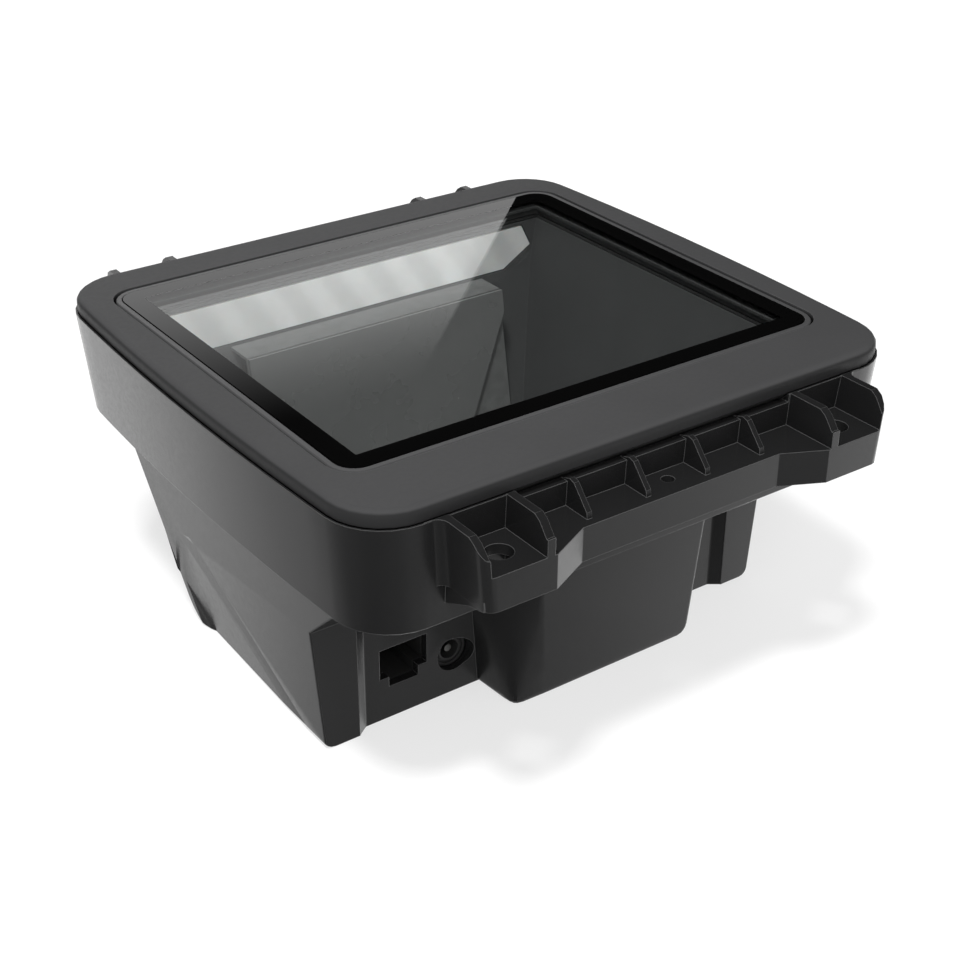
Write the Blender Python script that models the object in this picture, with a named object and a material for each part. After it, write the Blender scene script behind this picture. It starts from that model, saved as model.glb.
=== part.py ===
"""Compact fixed barcode reader for a counter top: one deep moulded housing with a screw flange
front and back, a top bezel round a flush window, and the folded optics and boards inside.

Metres, +Z up. Origin at the middle of the bottom, front is -Y, the sockets are on the front."""

import math

import bmesh
import bpy
from mathutils import Matrix, Vector

# Overall form
HEIGHT = 0.0789
BEZEL_HALF_WIDTH = 0.0755
BEZEL_HALF_DEPTH = 0.0705
SIDE_BOW = 0.0027
CORNER_RADIUS = 0.0138
FIT_GAP = 0.0003

# Band, the upper part of the housing
BAND_BOTTOM = 0.0488
RIM_TOP = 0.0750
RIM_PROUD = 0.0005
BAND_SIDE_DRAFT = 0.0020
BAND_END_DRAFT = 0.0014
BAND_EDGE = 0.0006
HOUSING_WALL = 0.0022

# Lower body
LOWER_HALF_WIDTH = 0.06475
LOWER_SIDE_SLOPE = 0.079
LOWER_BACK = 0.02695
LOWER_BACK_SLOPE = 0.51
LOWER_SIDE_EDGE = 0.0020
LOWER_BACK_EDGE = 0.0060
LOWER_CORNER = 0.0018
LEG_FRONT = 0.0367
LEG_SHOULDER = 0.0330
SHOULDER_REACH = 0.0173
FLOOR = 0.0022
CAVITY_FLOOR = 0.0022
BOX_FLOOR = 0.0026

# Front panel between the legs
PANEL_FRONT = 0.0346
PANEL_HALF_WIDTH = 0.0528
PANEL_STEP = 0.0030

# Shallow triangular recess low on each side wall
RECESS_START = (-0.0274, 0.0010)
RECESS_PEAK = (0.0196, 0.0266)
RECESS_SLOPE = 0.10
RECESS_ROUND = 0.0055

# Nose box in front of the panel
BOX_FRONT = 0.0485
BOX_FRONT_SLOPE = 0.0267
BOX_RIGHT = 0.0335
BOX_RIGHT_SLOPE = 0.090
BOX_EDGE = 0.0009
BOX_RIGHT_EDGE = 0.0030
BOX_UPRIGHT_ROUND = 0.0012
BOX_LEFT = 0.0204
BOX_LEFT_SLOPE = 0.090
BOX_CREASE = 0.0111
BOX_CREASE_SLOPE = 0.0586
FILLET_FOOT = 0.0212
FILLET_SLOPE_X = 0.1726
FILLET_SLOPE_Y = 0.1504
FACET_FOOT = 0.0217
FACET_SLOPE = 0.556
SHARP_WEIGHT = 6.0
FLAT_WEIGHT = 0.15
BLEND_HEIGHT = 0.0300

# Screw flanges, front and back alike
FLANGE_TOP = 0.0672
FLANGE_BOTTOM = 0.0590
FLANGE_PLATE = 0.0025
FLANGE_LIP = 0.0022
EAR_REACH = 0.08475
EAR_OUTER = 0.0544
EAR_FLARE = 0.083
EAR_CORNER = 0.0027
EAR_ROOT_ROUND = 0.0025
EAR_ROOT_SINK = 0.00006
EAR_INNER = 0.0374
EAR_WALL = 0.0018
EAR_WALL_TOP = 0.0752
MID_REACH = 0.07975
MID_HALF_WIDTH = 0.0272
EAR_END_WALL = 0.0710
EAR_TOP_CURVE = ((1.083, 0.0), (0.702, 0.238), (0.369, 0.643), (0.131, 0.952))
INNER_WALL = 0.0380
INNER_WALL_THICK = 0.0020
BRACE_DROP = 0.0050
NOTCH_HALF_WIDTH = 0.0377
NOTCH_SILL = 0.07305
EAR_HOLE_X = 0.0464
EAR_HOLE_OUT = 0.0773
EAR_HOLE_RADIUS = 0.0031
MID_HOLE_OUT = 0.0742
MID_HOLE_RADIUS = 0.0015

# Gusset plates on the flange
GUSSET_X = (-0.0239, -0.0082, 0.0082, 0.0239)
GUSSET_THICK = 0.0013
GUSSET_FOOT = 0.0777
GUSSET_PEAK = 0.0740
GUSSET_PEAK_OUT = 0.07155
GUSSET_ROUND = 0.00145
GUSSET_TOE_LEAN = 0.00025
GUSSET_SHOULDER_DROP = 0.0004
GUSSET_HEEL_DROP = 0.00085

# Bezel
BEZEL_FILLET = 0.0017
BEZEL_UNDERCUT = 0.00035
BEZEL_EDGE = 0.0752
SKIRT_BOTTOM = 0.0675
SKIRT_THICK = 0.0019
BEZEL_PLATE = 0.0745

# Window
WINDOW_CENTRE = 0.0029
CHANNEL_HALF_WIDTH = 0.0669
CHANNEL_HALF_DEPTH = 0.0559
CHANNEL_CORNER = 0.0072
CHANNEL_FLOOR = 0.0759
FRAME_GROOVE = 0.0006
FRAME_WIDTH = 0.0014
FRAME_SINK = 0.0002
FRAME_EDGE = 0.0003
APERTURE_HALF_WIDTH = 0.05946
APERTURE_HALF_DEPTH = 0.04857
APERTURE_ROUND = 0.0005
LEDGE_LIP = 0.0008
GASKET_THICK = 0.0007
GLASS_THICK = 0.0016

# Optics hood below the window
HOOD_WALL = 0.0015
HOOD_TOP = 0.0732
HOOD_SHELF = 0.0610
HOOD_FLOOR = 0.0245
HOOD_TOP_MARGIN = 0.0008
HOOD_SHELF_HALF_WIDTH = 0.0560
HOOD_SHELF_FRONT = -0.0325
HOOD_SHELF_BACK = 0.0494
HOOD_FLOOR_HALF_WIDTH = 0.0430
HOOD_FLOOR_FRONT = -0.0240
HOOD_FLOOR_BACK = 0.0343
SEAL_THICK = 0.0007

# Mirror on its bent bracket
MIRROR_TILT = math.radians(10)
MIRROR_TOP = 0.0613
MIRROR_TOP_OUT = 0.0388
MIRROR_HALF_WIDTH = 0.0388
MIRROR_SQUARE_PART = 0.0060
MIRROR_LENGTH = 0.0335
MIRROR_FOOT_HALF_WIDTH = 0.0253
MIRROR_THICK = 0.0010
BRACKET_SHEET = 0.0008

# Light strip behind the diffuser
DIFFUSER_TOP_HALF = 0.0548
DIFFUSER_END_HALF = 0.0584
DIFFUSER_FOOT_HALF = 0.0470
DIFFUSER_HEIGHT = 0.0105
DIFFUSER_END_HEIGHT = 0.0050
DIFFUSER_RISE = 0.0008
DIFFUSER_THICK = 0.0020
LED_COUNT = 8
LED_PITCH = 0.0130
LED_SIZE = 0.0035
LED_HEIGHT = 0.0010
LIGHT_BOARD_THICK = 0.0016
LIGHT_BOARD_MARGIN = 0.0012

# Camera in the nose box
CAMERA_TILT = math.radians(12)
CAMERA_OUT = 0.0405
CAMERA_HEIGHT = 0.0300
CAMERA_BOARD_WIDTH = 0.0190
CAMERA_BOARD_HEIGHT = 0.0190
CAMERA_BOARD_THICK = 0.0012
LENS_BASE = 0.0120
LENS_BASE_LENGTH = 0.0045
BARREL_RADIUS = 0.0048
BARREL_LENGTH = 0.0110
LENS_RADIUS = 0.0032
LENS_THICK = 0.0012
CAMERA_HOLE_RADIUS = 0.0060
CAMERA_SHEET = 0.0012
CAMERA_SCREW_SPAN = 0.0110
CAMERA_SCREW_SET = 0.0062

# Main board and what stands on it
BOARD_HALF_WIDTH = 0.0550
BOARD_FRONT = -0.0317
BOARD_BACK = 0.0205
BOARD_BOTTOM = 0.0039
BOARD_THICK = 0.0016
BOARD_SCREW_X = 0.0500
BOARD_SCREW_FRONT = -0.0100
BOARD_SCREW_BACK = 0.0155
BOARD_POST_RADIUS = 0.0032
HOOD_POST_X = 0.0340
HOOD_POST_Y = 0.0080
HOOD_POST_RADIUS = 0.0035
DECODER_PLACE = (0.0120, 0.0020)
DECODER_SIZE = 0.0140
DECODER_HEIGHT = 0.0014
MEMORY_PLACE = (-0.0090, 0.0020)
MEMORY_WIDTH = 0.0110
MEMORY_DEPTH = 0.0080
MEMORY_HEIGHT = 0.0011
CAPACITOR_PLACES = ((-0.0240, -0.0130), (-0.0160, -0.0130))
CAPACITOR_RADIUS = 0.0032
CAPACITOR_HEIGHT = 0.0075
BUZZER_PLACE = (0.0420, -0.0020)
BUZZER_RADIUS = 0.0060
BUZZER_HEIGHT = 0.0070
CONNECTOR_WIDTH = 0.0130
CONNECTOR_DEPTH = 0.0040
CONNECTOR_HEIGHT = 0.0022
CONNECTOR_SET = 0.0040
RIBBON_WIDTH = 0.0110
RIBBON_THICK = 0.0003

# Network socket in the front panel
NETWORK_X = -0.04215
NETWORK_WIDTH = 0.0129
NETWORK_BOTTOM = 0.0114
NETWORK_TOP = 0.0194
NETWORK_KEY_WIDTH = 0.0080
NETWORK_KEY_BOTTOM = 0.00875
NETWORK_DEPTH = 0.0125
NETWORK_SHELL = 0.0014
NETWORK_LENGTH = 0.0160
CONTACT_COUNT = 8
CONTACT_PITCH = 0.00102
CONTACT_THICK = 0.0004

# Round supply socket
SUPPLY_X = -0.0280
SUPPLY_HEIGHT = 0.0108
SUPPLY_RECESS_RADIUS = 0.0047
SUPPLY_SINK = 0.0020
SUPPLY_BORE_RADIUS = 0.0025
SUPPLY_BORE_DEPTH = 0.0085
SUPPLY_PIN_RADIUS = 0.0010
SUPPLY_GROOVE_INNER = 0.0031
SUPPLY_GROOVE_OUTER = 0.0038
SUPPLY_LENGTH = 0.0120

# Screws through the band floor into the bezel
TOWER_X = 0.0575
TOWER_Y = 0.0605
TOWER_RADIUS = 0.0045
TOWER_TOP = 0.0620
COUNTERBORE_TOP = 0.0580
SCREW_HEAD_RADIUS = 0.0027
SCREW_HEAD_HEIGHT = 0.0020
SCREW_SHANK_RADIUS = 0.0013
BEZEL_SCREW_LENGTH = 0.0130
SMALL_HEAD_RADIUS = 0.0021
SMALL_HEAD_HEIGHT = 0.0014
SMALL_SHANK_RADIUS = 0.0009
SOCKET_DEPTH = 0.0009

NAME = "fixed_barcode_reader"
WORK = "cutters"
ROOT = "reader"


def clear_scene():
    for item in list(bpy.data.objects):
        bpy.data.objects.remove(item)


def collection(name):
    group = bpy.data.collections.new(name)
    bpy.context.scene.collection.children.link(group)
    return group


def material(name, color, roughness, metallic=0.0, transmission=0.0):
    made = bpy.data.materials.new(name)
    made.use_nodes = True
    shader = made.node_tree.nodes["Principled BSDF"]
    shader.inputs["Base Color"].default_value = (*color, 1.0)
    shader.inputs["Roughness"].default_value = roughness
    shader.inputs["Metallic"].default_value = metallic
    shader.inputs["Transmission Weight"].default_value = transmission
    return made


def body_from(name, mesh, place=None):
    """A working solid in the cutters collection, until it is finished as a part."""
    item = bpy.data.objects.new(name, mesh)
    item.hide_render = True
    item.display_type = "WIRE"
    bpy.data.collections[WORK].objects.link(item)
    if place is not None:
        mesh.transform(place)
    return item


def rounded(corners, steps=5):
    """An outline from corners (x, y, radius): a corner with a radius becomes a tangent arc."""
    points = []
    for index, (x, y, radius) in enumerate(corners):
        here = Vector((x, y))
        if radius <= 0:
            points.append((x, y))
            continue
        before = (Vector(corners[index - 1][:2]) - here).normalized()
        after = (Vector(corners[(index + 1) % len(corners)][:2]) - here).normalized()
        half = before.angle(after) / 2
        centre = here + (before + after).normalized() * radius / math.sin(half)
        start = here + before * radius / math.tan(half) - centre
        stop = here + after * radius / math.tan(half) - centre
        first = math.atan2(start.y, start.x)
        turn = math.atan2(start.x * stop.y - start.y * stop.x, start.dot(stop))
        for step in range(steps + 1):
            angle = first + turn * step / steps
            points.append((centre.x + radius * math.cos(angle), centre.y + radius * math.sin(angle)))
    return points


def rectangle(half_x, half_y, radius, centre_x=0.0, centre_y=0.0, steps=5):
    corners = [
        (centre_x + half_x, centre_y - half_y, radius),
        (centre_x + half_x, centre_y + half_y, radius),
        (centre_x - half_x, centre_y + half_y, radius),
        (centre_x - half_x, centre_y - half_y, radius),
    ]
    return rounded(corners, steps)


def bowed_outline(inset=0.0, side=0.0, end=0.0):
    """The plan of bezel and band: straight front and back, bowed sides, round corners."""
    width = BEZEL_HALF_WIDTH - inset - side
    depth = BEZEL_HALF_DEPTH - inset - end
    corner = CORNER_RADIUS - inset
    arc = (depth * depth + SIDE_BOW * SIDE_BOW) / (2 * SIDE_BOW)
    corner_y = depth - corner
    corner_x = width - arc + math.sqrt((arc - corner) ** 2 - corner_y ** 2)
    tangent = math.atan2(corner_y, corner_x - (width - arc))
    quarter = []
    side_steps = 4
    corner_steps = 7
    for step in range(side_steps):
        angle = tangent * (step + 0.5) / side_steps
        quarter.append((width - arc + arc * math.cos(angle), arc * math.sin(angle)))
    for step in range(corner_steps + 1):
        angle = tangent + (math.pi / 2 - tangent) * step / corner_steps
        quarter.append((corner_x + corner * math.cos(angle), corner_y + corner * math.sin(angle)))
    right_back = quarter
    left_back = [(-x, y) for x, y in reversed(quarter)]
    left_front = [(-x, -y) for x, y in quarter]
    right_front = [(x, -y) for x, y in reversed(quarter)]
    return right_back + left_back + left_front + right_front


def at_height(outline, height):
    return [(x, y, height) for x, y in outline]


def loft(name, rings):
    """A closed skin through rings of equal count, bottom ring first, each counterclockwise from above."""
    mesh_data = bmesh.new()
    rows = [[mesh_data.verts.new(point) for point in ring] for ring in rings]
    count = len(rings[0])
    for lower, upper in zip(rows, rows[1:]):
        for index in range(count):
            after = (index + 1) % count
            mesh_data.faces.new((lower[index], lower[after], upper[after], upper[index]))
    mesh_data.faces.new(list(reversed(rows[0])))
    mesh_data.faces.new(rows[-1])
    bmesh.ops.connect_verts_nonplanar(mesh_data, angle_limit=0.00001, faces=mesh_data.faces)
    bmesh.ops.recalc_face_normals(mesh_data, faces=mesh_data.faces)
    mesh = bpy.data.meshes.new(name)
    mesh_data.to_mesh(mesh)
    mesh_data.free()
    return body_from(name, mesh)


def plate(name, outline, low, high, axis="Z", place=None):
    """A flat outline filled and extruded from low to high along an axis, as a closed mesh."""
    curve = bpy.data.curves.new(name, "CURVE")
    curve.dimensions = "2D"
    curve.fill_mode = "BOTH"
    curve.extrude = (high - low) / 2
    spline = curve.splines.new("POLY")
    spline.points.add(len(outline) - 1)
    for point, (u, v) in zip(spline.points, outline):
        point.co = (u, v, 0.0, 1.0)
    spline.use_cyclic_u = True
    drawn = bpy.data.objects.new(name, curve)
    bpy.data.collections[WORK].objects.link(drawn)
    graph = bpy.context.evaluated_depsgraph_get()
    mesh = bpy.data.meshes.new_from_object(drawn.evaluated_get(graph))
    bpy.data.objects.remove(drawn)
    tidy = bmesh.new()
    tidy.from_mesh(mesh)
    bmesh.ops.remove_doubles(tidy, verts=tidy.verts, dist=0.000001)
    bmesh.ops.dissolve_limit(tidy, angle_limit=0.001, verts=tidy.verts, edges=tidy.edges)
    bmesh.ops.recalc_face_normals(tidy, faces=tidy.faces)
    tidy.to_mesh(mesh)
    tidy.free()
    middle = (low + high) / 2
    turns = {
        "Z": Matrix(((1, 0, 0, 0), (0, 1, 0, 0), (0, 0, 1, middle), (0, 0, 0, 1))),
        "X": Matrix(((0, 0, 1, middle), (1, 0, 0, 0), (0, 1, 0, 0), (0, 0, 0, 1))),
        "Y": Matrix(((1, 0, 0, 0), (0, 0, -1, middle), (0, 1, 0, 0), (0, 0, 0, 1))),
    }
    mesh.transform(turns[axis])
    return body_from(name, mesh, place)


def block(name, low, high, place=None):
    mesh_data = bmesh.new()
    bmesh.ops.create_cube(mesh_data, size=1.0)
    size = Vector(high) - Vector(low)
    middle = (Vector(high) + Vector(low)) / 2
    bmesh.ops.scale(mesh_data, vec=size, verts=mesh_data.verts)
    bmesh.ops.translate(mesh_data, vec=middle, verts=mesh_data.verts)
    mesh = bpy.data.meshes.new(name)
    mesh_data.to_mesh(mesh)
    mesh_data.free()
    return body_from(name, mesh, place)


def rod(name, radius, low, high, centre=(0.0, 0.0), axis="Z", sides=24, top_radius=None, place=None):
    """A cylinder or cone from low to high along Z at centre (x, y), or along Y at centre (x, z)."""
    mesh_data = bmesh.new()
    bmesh.ops.create_cone(
        mesh_data,
        cap_ends=True,
        segments=sides,
        radius1=radius,
        radius2=radius if top_radius is None else top_radius,
        depth=high - low,
    )
    mesh = bpy.data.meshes.new(name)
    mesh_data.to_mesh(mesh)
    mesh_data.free()
    middle = (low + high) / 2
    if axis == "Z":
        mesh.transform(Matrix.Translation((centre[0], centre[1], middle)))
    else:
        mesh.transform(Matrix.Rotation(math.radians(-90), 4, "X"))
        mesh.transform(Matrix.Translation((centre[0], middle, centre[1])))
    return body_from(name, mesh, place)


def combine(target, tool, operation):
    """Boolean applied at once: the tool is used up and the target keeps the result."""
    modifier = target.modifiers.new("combine", "BOOLEAN")
    modifier.solver = "EXACT"
    modifier.operation = operation
    modifier.object = tool
    graph = bpy.context.evaluated_depsgraph_get()
    mesh = bpy.data.meshes.new_from_object(target.evaluated_get(graph))
    target.modifiers.clear()
    before = target.data
    target.data = mesh
    bpy.data.meshes.remove(before)
    bpy.data.objects.remove(tool)
    return target


def join(target, *tools):
    for tool in tools:
        combine(target, tool, "UNION")
    return target


def cut(target, *tools):
    for tool in tools:
        combine(target, tool, "DIFFERENCE")
    return target


def finish(item, name, look, sharp=30):
    """Moves a working solid into the parts collection under its own name and material."""
    bpy.data.collections[WORK].objects.unlink(item)
    bpy.data.collections[NAME].objects.link(item)
    item.name = name
    item.data.name = name
    item.hide_render = False
    item.display_type = "TEXTURED"
    item.data.materials.clear()
    item.data.materials.append(look)
    item.data.shade_smooth()
    item.data.set_sharp_from_angle(angle=math.radians(sharp))
    item.parent = bpy.data.objects[ROOT]
    return item


def band_outline(height, inset=0.0):
    """Plan of the band at a height: the rim's outline drawn in by the mould draft."""
    drop = (RIM_TOP - height) / (RIM_TOP - BAND_BOTTOM)
    return bowed_outline(inset - RIM_PROUD, BAND_SIDE_DRAFT * drop, BAND_END_DRAFT * drop)


def band_solid():
    rings = [
        at_height(band_outline(BAND_BOTTOM, BAND_EDGE), BAND_BOTTOM),
        at_height(band_outline(BAND_BOTTOM + BAND_EDGE), BAND_BOTTOM + BAND_EDGE),
        at_height(band_outline(RIM_TOP), RIM_TOP),
    ]
    return loft("band", rings)


def band_cavity():
    low = BAND_BOTTOM + FLOOR
    high = RIM_TOP + BAND_EDGE
    rings = [at_height(band_outline(z, HOUSING_WALL), z) for z in (low, high)]
    return loft("band_cavity", rings)


def edge_inset(radius, height):
    """How far a round bottom edge of this radius pulls the wall in at a height."""
    if height >= radius:
        return 0.0
    return radius - math.sqrt(radius ** 2 - (radius - height) ** 2)


def lower_half_width(height):
    return LOWER_HALF_WIDTH + LOWER_SIDE_SLOPE * height


def lower_back(height):
    return LOWER_BACK + LOWER_BACK_SLOPE * height


def leg_front(height):
    if height <= LEG_SHOULDER:
        return -LEG_FRONT
    rise = (height - LEG_SHOULDER) / (BAND_BOTTOM - LEG_SHOULDER)
    return -LEG_FRONT - SHOULDER_REACH * rise


def lower_ring(height, wall=0.0, front=None):
    """Level section of the lower body, or of its hollow when a wall is given."""
    side_edge = edge_inset(LOWER_SIDE_EDGE, height)
    back_edge = edge_inset(LOWER_BACK_EDGE, height)
    side = lower_half_width(height) - side_edge - wall
    if wall:
        side -= recess_depth(lower_back(0.0), 0.0) * max(0.0, 1 - height / RECESS_PEAK[1])
    back = lower_back(height) - back_edge - wall * math.hypot(1.0, LOWER_BACK_SLOPE)
    if front is None:
        front = leg_front(height)
    corner = LOWER_CORNER
    corners = [(side, front, corner / 3), (side, back, corner), (-side, back, corner), (-side, front, corner / 3)]
    return at_height(rounded(corners, 3), height)


def lower_solid():
    levels = [0.0, 0.0002, 0.0006, 0.0012, LOWER_SIDE_EDGE, 0.0034, LOWER_BACK_EDGE]
    levels += [LEG_SHOULDER, BAND_BOTTOM + FLOOR / 2]
    return loft("lower", [lower_ring(z) for z in levels])


def lower_cavity():
    levels = [CAVITY_FLOOR, 0.0040, LOWER_BACK_EDGE, RECESS_PEAK[1], BAND_BOTTOM + FLOOR * 1.5]
    front = HOUSING_WALL - PANEL_FRONT
    return loft("lower_cavity", [lower_ring(z, HOUSING_WALL, front) for z in levels])


def panel_cutter():
    """Everything in front of the socket panel, with an S shaped step up to each leg."""
    inner = PANEL_HALF_WIDTH
    outer = PANEL_HALF_WIDTH + PANEL_STEP
    reach = LEG_FRONT + 2 * SHOULDER_REACH
    bend = PANEL_STEP / 3
    corners = [
        (-outer, -reach, 0),
        (outer, -reach, 0),
        (outer, -LEG_FRONT, bend),
        (inner, -PANEL_FRONT, bend),
        (-inner, -PANEL_FRONT, bend),
        (-outer, -LEG_FRONT, bend),
    ]
    return plate("panel_cutter", rounded(corners, 4), -FLOOR, BAND_BOTTOM + FLOOR)


def recess_depth(out, height):
    """Depth of the side recess below its crease, at a place (y, z) on the side wall."""
    start = Vector(RECESS_START)
    along = (Vector(RECESS_PEAK) - start).normalized()
    offset = Vector((out, height)) - start
    return RECESS_SLOPE * (offset.x * along.y - offset.y * along.x)


def recess_cutter(side):
    """Tilted pocket from the long crease down to the bottom and the back corner."""
    start = Vector(RECESS_START)
    peak = Vector(RECESS_PEAK)
    along = (peak - start).normalized()
    above = Vector((-along.y, along.x)) * RECESS_ROUND / 4
    foot = start - along * RECESS_ROUND
    back = LOWER_BACK + LOWER_BACK_EDGE
    outline = [
        (foot.x + above.x, foot.y + above.y, 0),
        (foot.x - above.x, -RECESS_ROUND, 0),
        (back + RECESS_ROUND, -RECESS_ROUND, 0),
        (back + LOWER_BACK_EDGE / 6, RECESS_PEAK[1] / 3, 0),
        (lower_back(RECESS_PEAK[1] / 2) - RECESS_ROUND / 4, RECESS_PEAK[1] / 2, RECESS_ROUND),
        (RECESS_PEAK[0] + RECESS_ROUND, RECESS_PEAK[1] + RECESS_ROUND / 2, RECESS_ROUND),
        (peak.x - RECESS_ROUND / 2 + above.x, peak.y - RECESS_ROUND / 4 + above.y, RECESS_ROUND / 2),
    ]
    points = rounded(outline, 4)
    outside = [(side * (lower_half_width(z) + LOWER_BACK_EDGE), y, z) for y, z in points]
    inside = [(side * (lower_half_width(z) - recess_depth(y, z)), y, z) for y, z in points]
    return loft("recess", [outside, inside])


def conic(first, control, last, weight, steps=6):
    """Points of a rational quadratic arc: a heavy control point pulls it into the corner."""
    points = []
    for step in range(steps + 1):
        t = step / steps
        a = (1 - t) ** 2
        b = 2 * weight * t * (1 - t)
        c = t ** 2
        total = a + b + c
        x = (a * first[0] + b * control[0] + c * last[0]) / total
        y = (a * first[1] + b * control[1] + c * last[1]) / total
        points.append((x, y))
    return points


def box_ring(height):
    """Level section of the nose box: its left flank turns from a square corner below to a slant above."""
    edge = edge_inset(BOX_EDGE, height)
    right = BOX_RIGHT + BOX_RIGHT_SLOPE * height - edge_inset(BOX_RIGHT_EDGE, height)
    front = -(BOX_FRONT + BOX_FRONT_SLOPE * height) + edge
    inside = -(PANEL_FRONT - HOUSING_WALL / 2)
    blend = min(height / BLEND_HEIGHT, 1.0)
    weight = SHARP_WEIGHT * (FLAT_WEIGHT / SHARP_WEIGHT) ** blend
    fillet = (-(FILLET_FOOT + FILLET_SLOPE_X * height) + edge, -(PANEL_FRONT + FILLET_SLOPE_Y * height))
    crease = (-(BOX_CREASE + BOX_CREASE_SLOPE * height), front)
    corner = (-(BOX_LEFT + BOX_LEFT_SLOPE * height) + edge, front)
    facet = -(FACET_FOOT + FACET_SLOPE * height)
    turned = BOX_UPRIGHT_ROUND
    ring = [(right, inside), (facet, inside), (facet, -PANEL_FRONT)]
    ring += conic(fillet, corner, crease, weight)
    ring += [(right - turned, front), (right - turned * 0.29, front + turned * 0.29), (right, front + turned)]
    return at_height(ring, height)


def box_solid():
    levels = [0.0, 0.00025, BOX_EDGE, 0.0018, BOX_RIGHT_EDGE, 0.0075, 0.0120, 0.0170]
    levels += [0.0230, BLEND_HEIGHT, BAND_BOTTOM + FLOOR * 0.4]
    return loft("box", [box_ring(z) for z in levels])


def box_cavity():
    """The hollow behind the nose box, open to the inside of the lower body."""
    rings = []
    for height in (BOX_FLOOR, BAND_BOTTOM + FLOOR * 1.3):
        right = BOX_RIGHT + BOX_RIGHT_SLOPE * height - HOUSING_WALL
        front = -(BOX_FRONT + BOX_FRONT_SLOPE * height) + HOUSING_WALL
        left = -BOX_LEFT + HOUSING_WALL
        slant = -(BOX_CREASE - HOUSING_WALL)
        back = -PANEL_FRONT + HOUSING_WALL * 2
        turn = -PANEL_FRONT - HOUSING_WALL / 2
        ring = [(right, back), (left, back), (left, turn), (slant, front), (right, front)]
        rings.append(at_height(ring, height))
    return loft("box_cavity", rings)


def flange_reach(x):
    """How far the flange stands out at a place along its width."""
    if abs(x) <= MID_HALF_WIDTH:
        return MID_REACH
    if abs(x) >= EAR_INNER:
        return EAR_REACH
    share = (abs(x) - MID_HALF_WIDTH) / (EAR_INNER - MID_HALF_WIDTH)
    return MID_REACH + (EAR_REACH - MID_REACH) * share


def flange_outline(height):
    """Plan of one flange as (x, out): two ears joined by a shallower middle."""
    outer = EAR_OUTER + EAR_FLARE * (height - FLANGE_BOTTOM)
    root = band_face(height) - HOUSING_WALL * 0.6
    skin = band_face(height) - EAR_ROOT_SINK
    right = [
        (MID_HALF_WIDTH, MID_REACH, 0),
        (EAR_INNER, EAR_REACH, 0),
        (outer, EAR_REACH, EAR_CORNER),
        (outer, skin, EAR_ROOT_ROUND),
        (outer + EAR_ROOT_ROUND * 1.6, skin, 0),
        (outer + EAR_ROOT_ROUND * 1.6, root, 0),
    ]
    left = [(-x, out, radius) for x, out, radius in reversed(right)]
    return rounded(right + left, 4)


def band_face(height):
    """Distance of the band's straight front face from the middle at a height."""
    drop = (RIM_TOP - height) / (RIM_TOP - BAND_BOTTOM)
    return BEZEL_HALF_DEPTH + RIM_PROUD - BAND_END_DRAFT * drop


def ear_profile():
    """Side view (out, z) of what is cut away above the ear walls: level, then curved down to the end."""
    drop = EAR_WALL_TOP - EAR_END_WALL
    curve = [(EAR_REACH - drop * run, EAR_WALL_TOP - drop * fall) for run, fall in EAR_TOP_CURVE]
    above = EAR_WALL_TOP + EAR_REACH / 10
    far = EAR_REACH + EAR_REACH / 10
    inner = band_face(RIM_TOP) - HOUSING_WALL * 2
    return [(inner, EAR_WALL_TOP), *curve, (far, EAR_END_WALL), (far, above), (inner, above)]


def flange_solid(end):
    """One screw flange without gussets, at the front (end -1) or the back (end 1)."""

    def turned(outline):
        return [(x, end * out) for x, out in outline]

    top = EAR_WALL_TOP + EAR_CORNER
    rings = []
    for height in (FLANGE_BOTTOM, top):
        ring = at_height(turned(flange_outline(height)), height)
        rings.append(ring if end > 0 else list(reversed(ring)))
    solid = loft("flange", [list(reversed(ring)) for ring in rings])
    half = EAR_OUTER * 2
    cut(solid, plate("tops", [(end * out, z) for out, z in ear_profile()], -half, half, "X"))
    far = EAR_REACH + EAR_CORNER
    near = band_face(FLANGE_TOP) - HOUSING_WALL * 2
    middle = [(-INNER_WALL, near), (INNER_WALL, near), (INNER_WALL, far), (-INNER_WALL, far)]
    cut(solid, plate("middle", turned(middle), FLANGE_TOP, top * 1.2))
    for side in (-1, 1):
        inner = INNER_WALL + INNER_WALL_THICK
        rings = []
        for height in (FLANGE_TOP, top * 1.2):
            outer = EAR_OUTER + EAR_FLARE * (height - FLANGE_BOTTOM) - EAR_WALL
            corners = [(inner, near), (outer, near), (outer, far), (inner, far)]
            rings.append([(side * x, end * out, height) for x, out in corners])
        cut(solid, loft("ear_pocket", rings))
    for low, high in flange_bays():
        cut(solid, plate("bay", turned(bay_outline(low, high)), -FLANGE_BOTTOM, FLANGE_TOP - FLANGE_PLATE))
    return solid


def flange_bays():
    """Hollows under the flange, between ribs in line with the walls and gussets above."""
    ribs = [INNER_WALL + INNER_WALL_THICK / 2]
    ribs += [abs(x) for x in GUSSET_X[:2]]
    edges = sorted({round(value, 6) for rib in ribs for value in (-rib, rib)})
    outer = EAR_OUTER - FLANGE_LIP
    bounds = [-outer] + edges + [outer]
    half_rib = GUSSET_THICK / 2
    bays = []
    for index, (low, high) in enumerate(zip(bounds, bounds[1:])):
        left = low if index == 0 else low + half_rib
        right = high if index == len(bounds) - 2 else high - half_rib
        bays.append((left, right))
    return bays


def bay_outline(low, high):
    breaks = [x for x in (-EAR_INNER, -MID_HALF_WIDTH, MID_HALF_WIDTH, EAR_INNER) if low < x < high]
    near = band_face(FLANGE_BOTTOM) - HOUSING_WALL * 0.3
    front = [(x, flange_reach(x) - FLANGE_LIP) for x in [low, *breaks, high]]
    return [(low, near), *front, (high, near)]


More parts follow.
